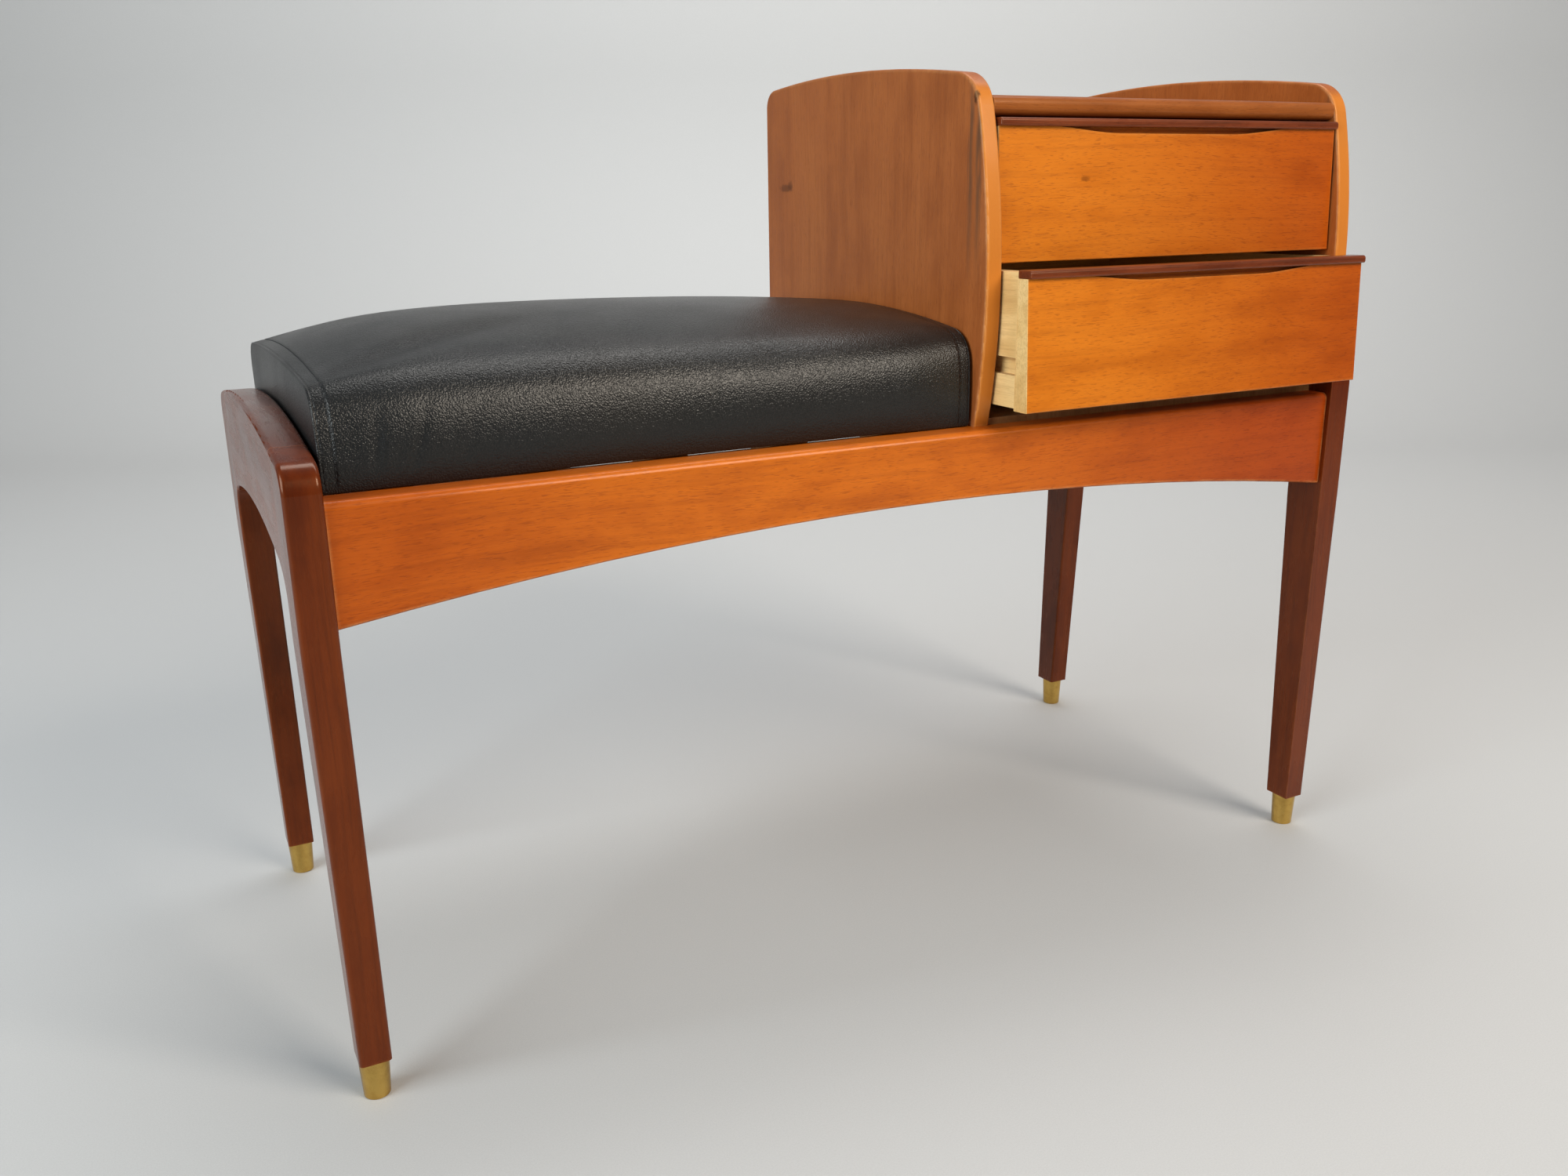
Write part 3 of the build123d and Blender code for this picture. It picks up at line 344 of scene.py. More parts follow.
def wood(name, grain, shift, body, pale, dark, bands=0.6, lines=0.4, pores=0.5, rough=0.34,
         coat=0.12, wear=0.5, worn=None, dust=0.02, marks=(), tint=None):
    """A wood whose grain runs along one axis. Marks are (middle, sizes, strength) of dark knots."""
    material, tree, shader, place = open_material(name)
    turned = stretch(tree, place, (1, 1, 1), shift=shift, turned=grain)
    figure = place_group(tree, wood_grain, {
        "Place": turned, "Body": colour(*body), "Pale": colour(*pale), "Dark": colour(*dark),
        "Bands": bands, "Lines": lines, "Pores": pores,
    })
    shown = figure.outputs["Color"]
    if tint:
        shown = tint(tree, place, shown)
    for middle, sizes, strength in marks:
        knot = place_group(tree, dark_knot, {"Place": place, "Middle": middle, "Sizes": sizes})
        share = times(tree, knot.outputs[0], strength)
        shown = blend_colours(tree, share, shown, colour(*[value * 0.35 for value in dark]))
    edges = place_group(tree, worn_edges, {"Place": place, "Amount": wear})
    shown = blend_colours(tree, edges.outputs["Mask"], shown, colour(*(worn or pale)))
    chips = times(tree, edges.outputs["Chips"], wear)
    shown = blend_colours(tree, chips, shown, colour(*dark))
    film = place_group(tree, settled_dust, {"Place": place, "Amount": dust})
    shown = blend_colours(tree, film.outputs[0], shown, colour(0.62, 0.58, 0.52))
    roughness = plus(tree, rough, times(tree, figure.outputs["Sheen"], 0.07))
    roughness = plus(tree, roughness, times(tree, edges.outputs["Mask"], 0.12))
    roughness = plus(tree, roughness, times(tree, film.outputs[0], 1.5))
    uneven = clouds(tree, place, 9, 3).outputs[0]
    feed(tree, shader.inputs, {
        "Base Color": shown, "Roughness": roughness,
        "Coat Weight": between(tree, uneven, 0.3, 0.7, coat * 0.9, coat * 1.1),
        "Coat Roughness": 0.16, "Specular IOR Level": 0.3, "Specular Tint": colour(1.0, 0.55, 0.25),
        "Normal": bumped(tree, 0.3, 0.0002, figure.outputs["Height"]),
    })
    return material


def where_facing(tree, axis, low, high):
    """How far a surface faces along an axis, between two values of its direction."""
    facing = put(tree, "ShaderNodeNewGeometry").outputs["Normal"]
    return between(tree, along_axis(tree, facing, axis), low, high, smooth=True)


teak_body, teak_pale, teak_dark = (0.52, 0.112, 0.006), (0.62, 0.160, 0.010), (0.25, 0.046, 0.004)
print("woods can be mixed")

# %% [markdown]
# ## Aprons
# The two long rails under the seat are teak with the grain along the bench. They are a deep
# orange brown that turns redder and darker towards both ends, with small dark chips along the
# lower edge. The darker ends are partly the wood's own tone and partly painted shade. They are
# the same colour multiplied by a warm tone, more of it the further a point lies from the middle
# of the bench.

# %% Apron teak
def darker_ends_partly_shade(tree, place, shown):
    """Turns a wood redder and darker towards both ends of the bench: partly its own tone, partly
    painted shade.
    """
    along = along_axis(tree, place, "X")
    left = between(tree, along, -0.16, -0.40, smooth=True)
    right = between(tree, along, -0.05, 0.38, smooth=True)
    shown = blend_colours(tree, left, shown, colour(0.76, 0.60, 0.55), "MULTIPLY")
    return blend_colours(tree, right, shown, colour(0.60, 0.36, 0.30), "MULTIPLY")


front_apron_teak = wood(
    "apron_teak_front", ALONG_X, (0.3, 0.11, 0.02), teak_body, teak_pale, teak_dark,
    bands=0.6, lines=0.22, pores=0.45, coat=0.22, wear=0.6, worn=(0.74, 0.34, 0.12),
    tint=darker_ends_partly_shade,
)
back_apron_teak = wood(
    "apron_teak_back", ALONG_X, (2.3, 0.41, 0.62), teak_body, teak_pale, teak_dark,
    bands=0.6, lines=0.25, pores=0.4, wear=0.4, worn=(0.62, 0.24, 0.05),
    tint=darker_ends_partly_shade,
)
print(front_apron_teak.name, back_apron_teak.name)

# %% [markdown]
# ## Drawer fronts
# The fronts are faced with a brighter teak whose grain runs across. Their ends were left as the
# pale wood of the core, which shows at the left of the open drawer, and so was the back of each
# board. The pale wood is mixed in where the surface faces sideways or backwards.

# %% Drawer front teak
def pale_core(tree, place, shown):
    """Shows the pale core of a faced board on its ends and its back."""
    core_place = stretch(tree, place, (1, 1, 1), shift=(0.2, 0.7, 0.1))
    core = place_group(tree, wood_grain, {
        "Place": core_place, "Body": colour(0.78, 0.49, 0.18), "Pale": colour(0.86, 0.62, 0.29),
        "Dark": colour(0.46, 0.25, 0.08), "Bands": 0.7, "Lines": 0.4, "Pores": 0.3,
    }).outputs["Color"]
    cuts = stretch(tree, place, (60, 1500, 60), turned=(math.radians(38), 0, 0))
    sawn = between(tree, clouds(tree, cuts, detail=2).outputs[0], 0.55, 0.72)
    core = blend_colours(tree, times(tree, sawn, 0.35), core, colour(0.45, 0.27, 0.10))
    left = where_facing(tree, "X", -0.6, -0.85)
    right = where_facing(tree, "X", 0.6, 0.85)
    back = where_facing(tree, "Y", 0.6, 0.85)
    ends = maths(tree, "MAXIMUM", maths(tree, "MAXIMUM", left, right), back)
    return blend_colours(tree, ends, shown, core)


def front_shade_and_pale_core(tree, place, shown):
    """Turns a drawer front redder and darker towards its right end, partly its own tone and partly
    painted shade, and leaves its ends pale.
    """
    along = along_axis(tree, place, "X")
    share = between(tree, along, 0.08, 0.44, smooth=True)
    shown = blend_colours(tree, share, shown, colour(0.64, 0.40, 0.25), "MULTIPLY")
    return pale_core(tree, place, shown)


front_looks = dict(
    body=(0.56, 0.145, 0.007), pale=(0.66, 0.200, 0.013), dark=(0.27, 0.058, 0.004),
    bands=0.55, lines=0.16, pores=0.45, wear=0.35, worn=(0.70, 0.30, 0.07), tint=front_shade_and_pale_core,
)
front_low, front_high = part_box("upper_drawer_front")
knot_middle = (front_low.x + 0.080, front_low.y + 0.002, front_high.z - 0.037)
knot_sizes = (0.0055, 0.02, 0.0028)
upper_front_teak = wood(
    "drawer_teak_upper", ALONG_X, (0.0, 0.0, 0.31), marks=[(knot_middle, knot_sizes, 0.5)],
    **front_looks,
)
lower_front_teak = wood("drawer_teak_lower", ALONG_X, (1.4, 0.3, 0.85), **front_looks)
print(upper_front_teak.name, lower_front_teak.name)

# %% [markdown]
# ## Cheeks and shelf
# The sides of the cabinet stand with their grain upright. The outer face of the left cheek is
# browner than the drawers, with two dark streaks a finger's width behind its front edge and three
# small dark marks. The front edges are painted lighter and more orange where they face forward,
# as painted light.

# %% Cheek and shelf teak
cheek_low, cheek_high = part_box("left_cheek")


def cheek_streaks_and_lit_front(tree, place, shown):
    """Draws two dark streaks behind the front edge of a cheek and lightens the edge itself as
    painted light.
    """
    height = along_axis(tree, place, "Z")
    wave = clouds(tree, stretch(tree, place, (3, 3, 14)), detail=3).outputs[0]
    wave = times(tree, maths(tree, "SUBTRACT", wave, 0.5), 0.010)
    fine = clouds(tree, stretch(tree, place, (260, 380, 22)), detail=3).outputs[0]
    fine = between(tree, fine, 0.30, 0.50)
    rising = between(tree, height, 0.50, 0.60, smooth=True)
    fade = times(tree, rising, between(tree, height, 0.668, 0.64))
    for behind, half_width, strength in ((0.0245, 0.0046, 0.75), (0.0140, 0.0052, 0.85)):
        middle = plus(tree, cheek_low.y + behind, wave)
        off = maths(tree, "ABSOLUTE", maths(tree, "SUBTRACT", along_axis(tree, place, "Y"), middle))
        streak = times(tree, between(tree, off, half_width, 0.0005, smooth=True), fine)
        share = times(tree, times(tree, streak, fade), strength)
        shown = blend_colours(tree, share, shown, colour(0.11, 0.050, 0.024))
    # the forward-facing edge is painted lighter and more orange: painted light
    front = where_facing(tree, "Y", -0.55, -0.9)
    return blend_colours(tree, times(tree, front, 0.85), shown, colour(0.56, 0.180, 0.022))


# middle, sizes and strength of each dark mark on the left cheek
cheek_marks = [
    ((cheek_low.x, cheek_high.y - 0.039, 0.5885), (0.02, 0.0160, 0.0048), 0.6),
    ((cheek_low.x, cheek_high.y - 0.047, 0.5905), (0.02, 0.0060, 0.0060), 0.45),
    ((cheek_low.x, cheek_low.y + 0.0195, 0.6495), (0.004, 0.0034, 0.0075), 1.0),
]
cheek_looks = dict(
    bands=0.55, lines=0.22, pores=0.4, wear=0.75, worn=(0.72, 0.36, 0.14), tint=cheek_streaks_and_lit_front
)
left_cheek_teak = wood(
    "cheek_teak_left", ALONG_Z, (0.15, 0.3, 0.0), (0.330, 0.088, 0.020), (0.420, 0.130, 0.033),
    (0.185, 0.046, 0.011), marks=cheek_marks, **cheek_looks,
)
right_cheek_teak = wood(
    "cheek_teak_right", ALONG_Z, (0.95, 0.1, 0.5), (0.345, 0.088, 0.016), (0.440, 0.130, 0.029),
    (0.185, 0.044, 0.009), **cheek_looks,
)
shelf_teak = wood(
    "shelf_teak", ALONG_X, (0.6, 0.9, 0.2), (0.235, 0.058, 0.010), (0.320, 0.095, 0.018),
    (0.120, 0.028, 0.005), bands=0.65, lines=0.3, pores=0.35, wear=0.4,
    worn=(0.48, 0.18, 0.045), dust=0.03,
)
print(left_cheek_teak.name, right_cheek_teak.name, shelf_teak.name)

# %% [markdown]
# ## End frames and pulls
# The arched frames are stained a dark red brown and are glossier than the teak, with fine upright
# grain in the legs and grain along the depth in the rails. The drawer pulls are rosewood: nearly
# black lines in a dark red brown.

# %% Dark woods
frame_looks = dict(
    body=(0.085, 0.0110, 0.0015), pale=(0.165, 0.030, 0.0040), dark=(0.032, 0.004, 0.001),
    bands=0.6, lines=0.25, pores=0.12, rough=0.22, coat=0.2, wear=0.3, worn=(0.32, 0.085, 0.016),
)
frame_cuts = {
    "left_front_leg": (ALONG_Z, (0.2, 0.1, 0.4)), "left_back_leg": (ALONG_Z, (0.7, 0.3, 0.9)),
    "right_front_leg": (ALONG_Z, (1.2, 0.8, 0.1)), "right_back_leg": (ALONG_Z, (1.9, 0.6, 0.5)),
    "left_end_rail": (ALONG_Y, (0.4, 0.2, 0.0)), "right_end_rail": (ALONG_Y, (1.5, 0.7, 0.3)),
}
frame_woods = {
    name: wood(name + "_wood", grain, shift, **frame_looks)
    for name, (grain, shift) in frame_cuts.items()
}
rosewood = wood(
    "pull_rosewood", ALONG_X, (0.1, 0.5, 0.2), (0.120, 0.020, 0.005), (0.190, 0.040, 0.012),
    (0.030, 0.006, 0.003), bands=0.7, lines=0.5, pores=0.3, rough=0.25, coat=0.3, wear=0.3,
    worn=(0.26, 0.075, 0.025),
)
print(len(frame_woods), "frame woods and", rosewood.name)

# %% [markdown]
# ## Woods out of sight
# Inside, the maker used plain wood: pale drawer sides, beech for blocks, slats and runners, and
# plywood for the panels. They are left without lacquer or with a thin one, so they are rougher
# and have almost no coat. Plywood shows its layers on its edges, which a wave across its
# thickness gives.

# %% Plain woods and plywood
plain_looks = dict(rough=0.52, coat=0.04, wear=0.3, dust=0.16)
drawer_looks = dict(
    body=(0.74, 0.46, 0.170), pale=(0.84, 0.60, 0.28), dark=(0.46, 0.25, 0.085),
    bands=0.7, lines=0.35, pores=0.25, **plain_looks,
)
beech_looks = dict(
    body=(0.50, 0.305, 0.150), pale=(0.62, 0.42, 0.235), dark=(0.30, 0.155, 0.065),
    bands=0.4, lines=0.25, pores=0.6, **plain_looks,
)
drawer_side_wood = wood("drawer_side_wood", ALONG_Y, (0.2, 0.3, 0.1), **drawer_looks)
drawer_back_wood = wood("drawer_back_wood", ALONG_X, (0.9, 0.2, 0.6), **drawer_looks)
beech_along = wood("beech_along", ALONG_X, (0.4, 0.8, 0.3), **beech_looks)
beech_across = wood("beech_across", ALONG_Y, (0.5, 0.1, 0.9), **beech_looks)
layer_pair = 0.0026  # thickness of two layers of plywood


def layers(tree, place, shown):
    """Shows the glued layers of plywood on its edges."""
    wave = maths(tree, "SINE", times(tree, along_axis(tree, place, "Z"), 2 * math.pi / layer_pair))
    not_top = where_facing(tree, "Z", 0.4, 0.1)
    not_bottom = where_facing(tree, "Z", -0.4, -0.1)
    edge = maths(tree, "MINIMUM", not_top, not_bottom)
    edge = times(tree, edge, between(tree, wave, 0.0, 0.6))
    return blend_colours(tree, times(tree, edge, 0.5), shown, colour(0.22, 0.12, 0.05))


panel_plywood = wood(
    "panel_plywood", ALONG_X, (0.1, 0.6, 0.4), (0.52, 0.34, 0.170), (0.66, 0.47, 0.260),
    (0.33, 0.19, 0.085), bands=0.9, lines=0.25, pores=0.3, tint=layers, **plain_looks,
)
# the cabinet's back and bottom get a darker plywood than the panels: painted shade for the dark
# inside of the cabinet
shade_darkened_plywood = wood(
    "shade_darkened_plywood", ALONG_Z, (0.8, 0.2, 0.7), (0.30, 0.145, 0.050), (0.40, 0.21, 0.085),
    (0.17, 0.07, 0.024), bands=0.9, lines=0.3, pores=0.3, **plain_looks,
)
print("plain woods:", drawer_side_wood.name, beech_along.name, panel_plywood.name)

# %% [markdown]
# ## Brass, steel and foam
# The ferrules are polished brass tubes that have browned a little with age, with fine rings left
# by the lathe. The screws are plain steel, and the foam under the cover is a mass of small cells,
# whose hollows are painted darker as painted shade.

# %% Brass
aged_brass, tree, shader, place = open_material("aged_brass")
tarnish = between(tree, clouds(tree, place, 90, 5, 0.65).outputs[0], 0.36, 0.70, smooth=True)
spots = between(tree, clouds(tree, place, 620, 3, 0.6).outputs[0], 0.62, 0.72)
metal = blend_colours(tree, tarnish, colour(0.62, 0.400, 0.105), colour(0.49, 0.295, 0.070))
metal = blend_colours(tree, times(tree, spots, 0.2), metal, colour(0.16, 0.095, 0.035))
edges = place_group(tree, worn_edges, {"Place": place, "Reach": 0.0012, "Amount": 0.6})
metal = blend_colours(tree, edges.outputs["Mask"], metal, colour(0.80, 0.58, 0.24))
rings = clouds(tree, stretch(tree, place, (60, 60, 2600)), detail=2, roughness=0.6).outputs[0]
roughness = plus(tree, 0.13, times(tree, tarnish, 0.06))
roughness = plus(tree, roughness, times(tree, rings, 0.06))
feed(tree, shader.inputs, {
    "Base Color": metal, "Metallic": 1.0, "Roughness": roughness,
    "Normal": bumped(tree, 0.25, 0.0001, rings),
})
print(aged_brass.name)

# %% Steel
screw_steel, tree, shader, place = open_material("dull_steel")
grime = between(tree, clouds(tree, place, 400, 4, 0.6).outputs[0], 0.35, 0.65)
steel = blend_colours(tree, grime, colour(0.50, 0.49, 0.46), colour(0.27, 0.25, 0.22))
feed(tree, shader.inputs, {
    "Base Color": steel, "Metallic": 1.0, "Roughness": plus(tree, 0.32, times(tree, grime, 0.2)),
    "Normal": bumped(tree, 0.3, 0.0001, grime),
})
print(screw_steel.name)

# %% Foam
seat_foam, tree, shader, place = open_material("yellowed_foam")
cells = put(tree, "ShaderNodeTexVoronoi", {"Vector": place, "Scale": 700.0}).outputs["Distance"]
age = between(tree, clouds(tree, place, 20, 4).outputs[0], 0.35, 0.65)
foam = blend_colours(tree, age, colour(0.74, 0.62, 0.34), colour(0.60, 0.45, 0.20))
# the hollows of the cells are painted darker: painted shade
foam = blend_colours(tree, between(tree, cells, 0.5, 0.1, 0.0, 0.4), foam, colour(0.30, 0.22, 0.10))
feed(tree, shader.inputs, {
    "Base Color": foam, "Roughness": between(tree, age, 0.0, 1.0, 0.85, 0.95),
    "Normal": bumped(tree, 0.6, 0.0006, cells),
})
print(seat_foam.name)

# %% [markdown]
# ## Put the finishes on the solids
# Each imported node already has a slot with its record's finish. The material in that slot is
# changed, and nothing else of the node.

# %% Assign the finishes
finishes = {
    "front_apron": front_apron_teak, "back_apron": back_apron_teak,
    "upper_drawer_front": upper_front_teak, "lower_drawer_front": lower_front_teak,
    "left_cheek": left_cheek_teak, "right_cheek": right_cheek_teak, "shelf_board": shelf_teak,
    "upper_drawer_pull": rosewood, "lower_drawer_pull": rosewood,
    "cabinet_back": shade_darkened_plywood, "cabinet_bottom": shade_darkened_plywood, "seat_board": panel_plywood,
    "seat_foam": seat_foam,
    "front_seat_cleat": beech_along, "back_seat_cleat": beech_along,
    "cabinet_bearer": beech_across, "frame_dowels": beech_along, "cabinet_dowels": beech_along,
    **frame_woods,
}
for level in ("upper", "lower"):
    finishes[f"{level}_drawer_back"] = drawer_back_wood
    finishes[f"{level}_drawer_bottom"] = panel_plywood
    for hand in ("left", "right"):
        finishes[f"{level}_drawer_{hand}_side"] = drawer_side_wood
        finishes[f"{level}_{hand}_runner"] = beech_across
for corner in ("front_left", "front_right", "back_left", "back_right"):
    finishes[f"{corner}_ferrule"] = aged_brass
    finishes[f"{corner}_block"] = beech_along
for number in range(1, 6):
    finishes[f"seat_slat_{number}"] = beech_across
for held_piece in ("block", "cleat", "slat", "seat", "cheek", "runner"):
    finishes[f"{held_piece}_screws"] = screw_steel
for name, finish in finishes.items():
    for slot in nodes[name].material_slots:
        slot.material = finish
print(len(finishes), "nodes finished, left for a modelled piece:", set(nodes) - set(finishes))

# %% [markdown]
# ## The cover of the seat
# The cushion is a sewn cover of black leathercloth over foam and a board. One long panel runs up
# the front, over the top and down the back, and a flat panel closes each end. The seams hold the
# ends of the cover in, and the foam pushes the panels out between them. So the cover starts a
# little smaller than its solid, as an even box with two round corners, and is cut into squares of
# about half a centimetre.

# %% Cover: the sewn box
slack, end_slack = 0.0025, 0.0008  # room left for the filling
corner = 0.023  # radius of the long edges
crown_height = 0.018  # middle of the top above its edges
seam_band = 0.0022  # narrow band of faces beside each end seam
along_step, back_step, height_step = 0.0052, 0.0060, 0.0058  # sizes of the squares

cushion_low, cushion_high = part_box("seat_cushion")
cover_left, cover_right = cushion_low.x + end_slack, cushion_high.x - end_slack
cover_front, cover_back = cushion_low.y + slack, cushion_high.y - slack
cover_base = cushion_low.z
crown_rise = cushion_high.z - cushion_low.z - slack
edge_rise = crown_rise - crown_height
section = ((cover_front, 0), (cover_front, edge_rise), (cover_back, edge_rise), (cover_back, 0))

sewn = bmesh.new()
outline = [sewn.verts.new((cover_left, back, cover_base + rise)) for back, rise in section]
sewn.faces.new(outline)
bmesh.ops.bevel(
    sewn, geom=outline[1:3], offset=corner, offset_type="OFFSET", segments=6, profile=0.5,
    affect="VERTICES", material=-1,
)


def steps_between(marks, spacing):
    """Fills the gaps between marks on a line with even steps."""
    filled = []
    for first, last in zip(marks, marks[1:]):
        count = max(1, round((last - first) / spacing))
        filled += [first + (last - first) * step / count for step in range(count)]
    return filled[1:]


def cut_across(shape, axis, place, nearness):
    """Cuts a whole shape along a plane square to an axis."""
    spot, square = [0, 0, 0], [0, 0, 0]
    spot[axis], square[axis] = place, 1
    whole = shape.verts[:] + shape.edges[:] + shape.faces[:]
    bmesh.ops.bisect_plane(shape, geom=whole, dist=nearness, plane_co=spot, plane_no=square)


along_marks = [cover_left, cover_left + seam_band, cover_right - seam_band, cover_right]
back_marks = sorted({round(point.co.y, 6) for point in sewn.verts})
height_marks = sorted({round(point.co.z, 6) for point in sewn.verts})
cuts = (
    steps_between(along_marks, along_step),
    steps_between(back_marks, back_step),
    steps_between(height_marks, height_step),
)
grown = bmesh.ops.extrude_face_region(sewn, geom=sewn.faces[:])
moved = [item for item in grown["geom"] if isinstance(item, bmesh.types.BMVert)]
bmesh.ops.translate(sewn, verts=moved, vec=(cover_right - cover_left, 0, 0))
bmesh.ops.recalc_face_normals(sewn, faces=sewn.faces)
for axis, places in enumerate(cuts):
    for place in places:
        cut_across(sewn, axis, place, 2e-6)
print("sewn box:", len(sewn.verts), "points,", len(sewn.faces), "faces")

# %% [markdown]
# The squares are now pulled into the shape of the cushion. It is highest about a third of the way
# from the left end and sinks towards both ends, most of all at the left. The top is crowned from
# front to back, and the front and the back swell between the seams. Years of use have pushed the
# upper part of the cushion back at its left end. The rim of the underside hangs down a little
# over the aprons, where no slat carries it.

# %% Cover: pull it into shape
full_share = 0.35  # where the cushion is fullest, as a share of its length
edge_drops, crown_drops = (0.011, 0.002), (0.025, 0.010)  # at the left and the right end
waist_height = 0.35  # up to here the base draws in, above it the top does
base_draw, top_draw = 0.0008, 0.0012  # how far each side draws in there
push_back, swelling = 0.0065, 0.0050  # of the top at the left end, and of the front and back
rim_hang, rim_lift = 0.0021, 0.0008  # the rim hangs less along the middle, by the second
middle_back, half_depth = (cover_front + cover_back) / 2, (cover_back - cover_front) / 2
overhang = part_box("seat_slat_1")[0].y - 0.002 - cover_front


def sunk(share, left_drop, right_drop):
    """How far the cushion has sunk below its fullest place, at a share of its length."""
    if share < full_share:
        return left_drop * (1 - share / full_share) ** 4
    return right_drop * ((share - full_share) / (1 - full_share)) ** 2


def smooth_step(value, low, high):
    """Rises softly from 0 to 1 between two values."""
    share = min(1, max(0, (value - low) / (high - low)))
    return share * share * (3 - 2 * share)


def hanging(spot, share, up):
    """How far the rim of the underside hangs down over the aprons."""
    depth = rim_hang
    depth -= rim_lift * smooth_step(share, 0.27, 0.36) * (1 - smooth_step(share, 0.80, 0.92))
    from_rim = min(spot.y - cover_front, cover_back - spot.y) / overhang
    return depth * (1 - smooth_step(from_rim, 0.3, 1)) * (1 - smooth_step(up, 0.0, 0.25))


def shaped(spot):
    """Where a point of the sewn box goes."""
    share = (spot.x - cover_left) / (cover_right - cover_left)
    up = (spot.z - cover_base) / edge_rise
    off = min(1.0, abs(spot.y - middle_back) / (half_depth - corner))
    edge = edge_rise - sunk(share, *edge_drops)
    crown = crown_rise - sunk(share, *crown_drops)
    drawn = base_draw * max(0, 1 - up / waist_height) ** 2
    drawn += top_draw * min(1, max(0, up - waist_height) / 0.4) ** 2
    pushed = push_back * smooth_step(up, 0.05, 1.0) * (1 - share)
    swell = swelling * math.sin(math.pi * up) * smooth_step(min(share, 1 - share), 0.0, 0.13)
    swell *= ((spot.y - middle_back) / half_depth) ** 5
    back = middle_back + (spot.y - middle_back) * (1 - drawn / half_depth) + pushed + swell
    rise = up * (edge + (crown - edge) * (1 - off * off)) - hanging(spot, share, up)
    return Vector((spot.x, back, cover_base + rise))


def into_object(name, shape):
    """Makes an object of a finished shape and puts it in the scene."""
    mesh = bpy.data.meshes.new(name)
    shape.to_mesh(mesh)
    shape.free()
    piece = bpy.data.objects.new(name, mesh)
    bpy.context.scene.collection.objects.link(piece)
    return piece


# where each point lies decides how firmly it is held and how far it may move
UNDERSIDE, SEAM, END, PANEL = range(4)
sewn.normal_update()
sewn.verts.index_update()
kinds = []
for point in sewn.verts:
    on_end = [abs(face.normal.x) > 0.5 for face in point.link_faces]
    if point.co.z < cover_base + 1e-5:
        kinds.append(UNDERSIDE)
    elif all(on_end):
        kinds.append(END)
    else:
        kinds.append(SEAM if any(on_end) else PANEL)
for point in sewn.verts:
    point.co = shaped(point.co)
cover = into_object("seat_cover", sewn)
print("points under, on seams, on ends, on the panel:", [kinds.count(kind) for kind in range(4)])


# %% [markdown]
# The cloth modifier fills the cover: pressure inside, no gravity, and a group of held points on
# the underside and along the seams. Each point may move only a few millimetres, so that the cover
# stays in the room of its solid. Twenty steps are enough. The free points are then evened out and
# the mesh is made finer.

# %% Cover: fill it
def baked(piece):
    """The mesh of a piece with its modifiers worked in."""
    bpy.context.view_layer.update()
    shape = piece.evaluated_get(bpy.context.evaluated_depsgraph_get())
    return bpy.data.meshes.new_from_object(shape)


def swap_mesh(piece, mesh):
    """Gives a piece a finished mesh and clears its modifiers."""
    piece.modifiers.clear()
    piece.data = mesh
    mesh.name = piece.name


filling_steps = 20


def fill(piece, pressure, reach):
    """Blows a cover up with the cloth solver and keeps each point within reach of its start."""
    cloth = piece.modifiers.new("filling", "CLOTH")
    settings = cloth.settings
    settings.quality = 6
    settings.mass = 0.4
    settings.tension_stiffness = settings.compression_stiffness = 18
    settings.shear_stiffness = 12
    settings.bending_stiffness = 3
    settings.vertex_group_mass = "held"
    settings.use_pressure = True
    settings.uniform_pressure_force = pressure
    settings.effector_weights.gravity = 0
    for step in range(1, filling_steps + 1):
        bpy.context.scene.frame_set(step)
    start = [point.co.copy() for point in piece.data.vertices]
    puffed = baked(piece)
    longest = 0.0
    for point, before, kind in zip(puffed.vertices, start, kinds):
        off = point.co - before
        longest = max(longest, off.length)
        if off.length > reach[kind]:
            point.co = before + off * (reach[kind] / off.length)
    bpy.context.scene.frame_set(1)
    swap_mesh(piece, puffed)
    print("the filling moved points by up to", round(longest * 1000, 2), "mm")


held = cover.vertex_groups.new(name="held")
held.add([index for index, kind in enumerate(kinds) if kind in (UNDERSIDE, SEAM)], 1.0, "REPLACE")
free = cover.vertex_groups.new(name="free")
free.add([index for index, kind in enumerate(kinds) if kind in (END, PANEL)], 1.0, "REPLACE")
reach = {UNDERSIDE: 0.0, SEAM: 0.0005, END: 0.0015, PANEL: 0.0040}
fill(cover, pressure=4.0, reach=reach)
smoother = cover.modifiers.new("even_out", "SMOOTH")
smoother.factor, smoother.iterations, smoother.vertex_group = 0.5, 3, "free"
finer = cover.modifiers.new("finer", "SUBSURF")
finer.levels = finer.render_levels = 1
swap_mesh(cover, baked(cover))
print("filled cover:", len(cover.data.vertices), "points")

# %% [markdown]
# ## Seams, stitches and drag wrinkles
# The end seams run along the arris between the long panel and the end panels, and a line of top
# stitching runs beside each of them on the long panel. Both pull the cloth down into a shallow
# groove. The mesh is cut on and beside the line, and the points of the line sink in. Low on the
# front, near the left end, the cover drags into a few soft folds.

# %% Seams and folds
seam_inset, seam_depth, seam_width = 0.0016, 0.0008, 0.0008
stitch_inset, groove_depth, groove_width = 0.0095, 0.0007, 0.0020
seam_lines = (cover_left + seam_inset, cover_right - seam_inset)
stitch_lines = (cover_left + stitch_inset, cover_right - stitch_inset)


def sew_in(skin, along, depth, width):
    """Sinks a line across the cover by a depth, within a width on each side."""
    for offset in (-width, 0, width):
        cut_across(skin, 0, along + offset, 1e-6)
    skin.normal_update()
    line = [p for p in skin.verts if abs(p.co.x - along) < 2e-5 and p.co.z > cover_base + 0.003]
    for point in line:
        point.co -= point.normal * depth


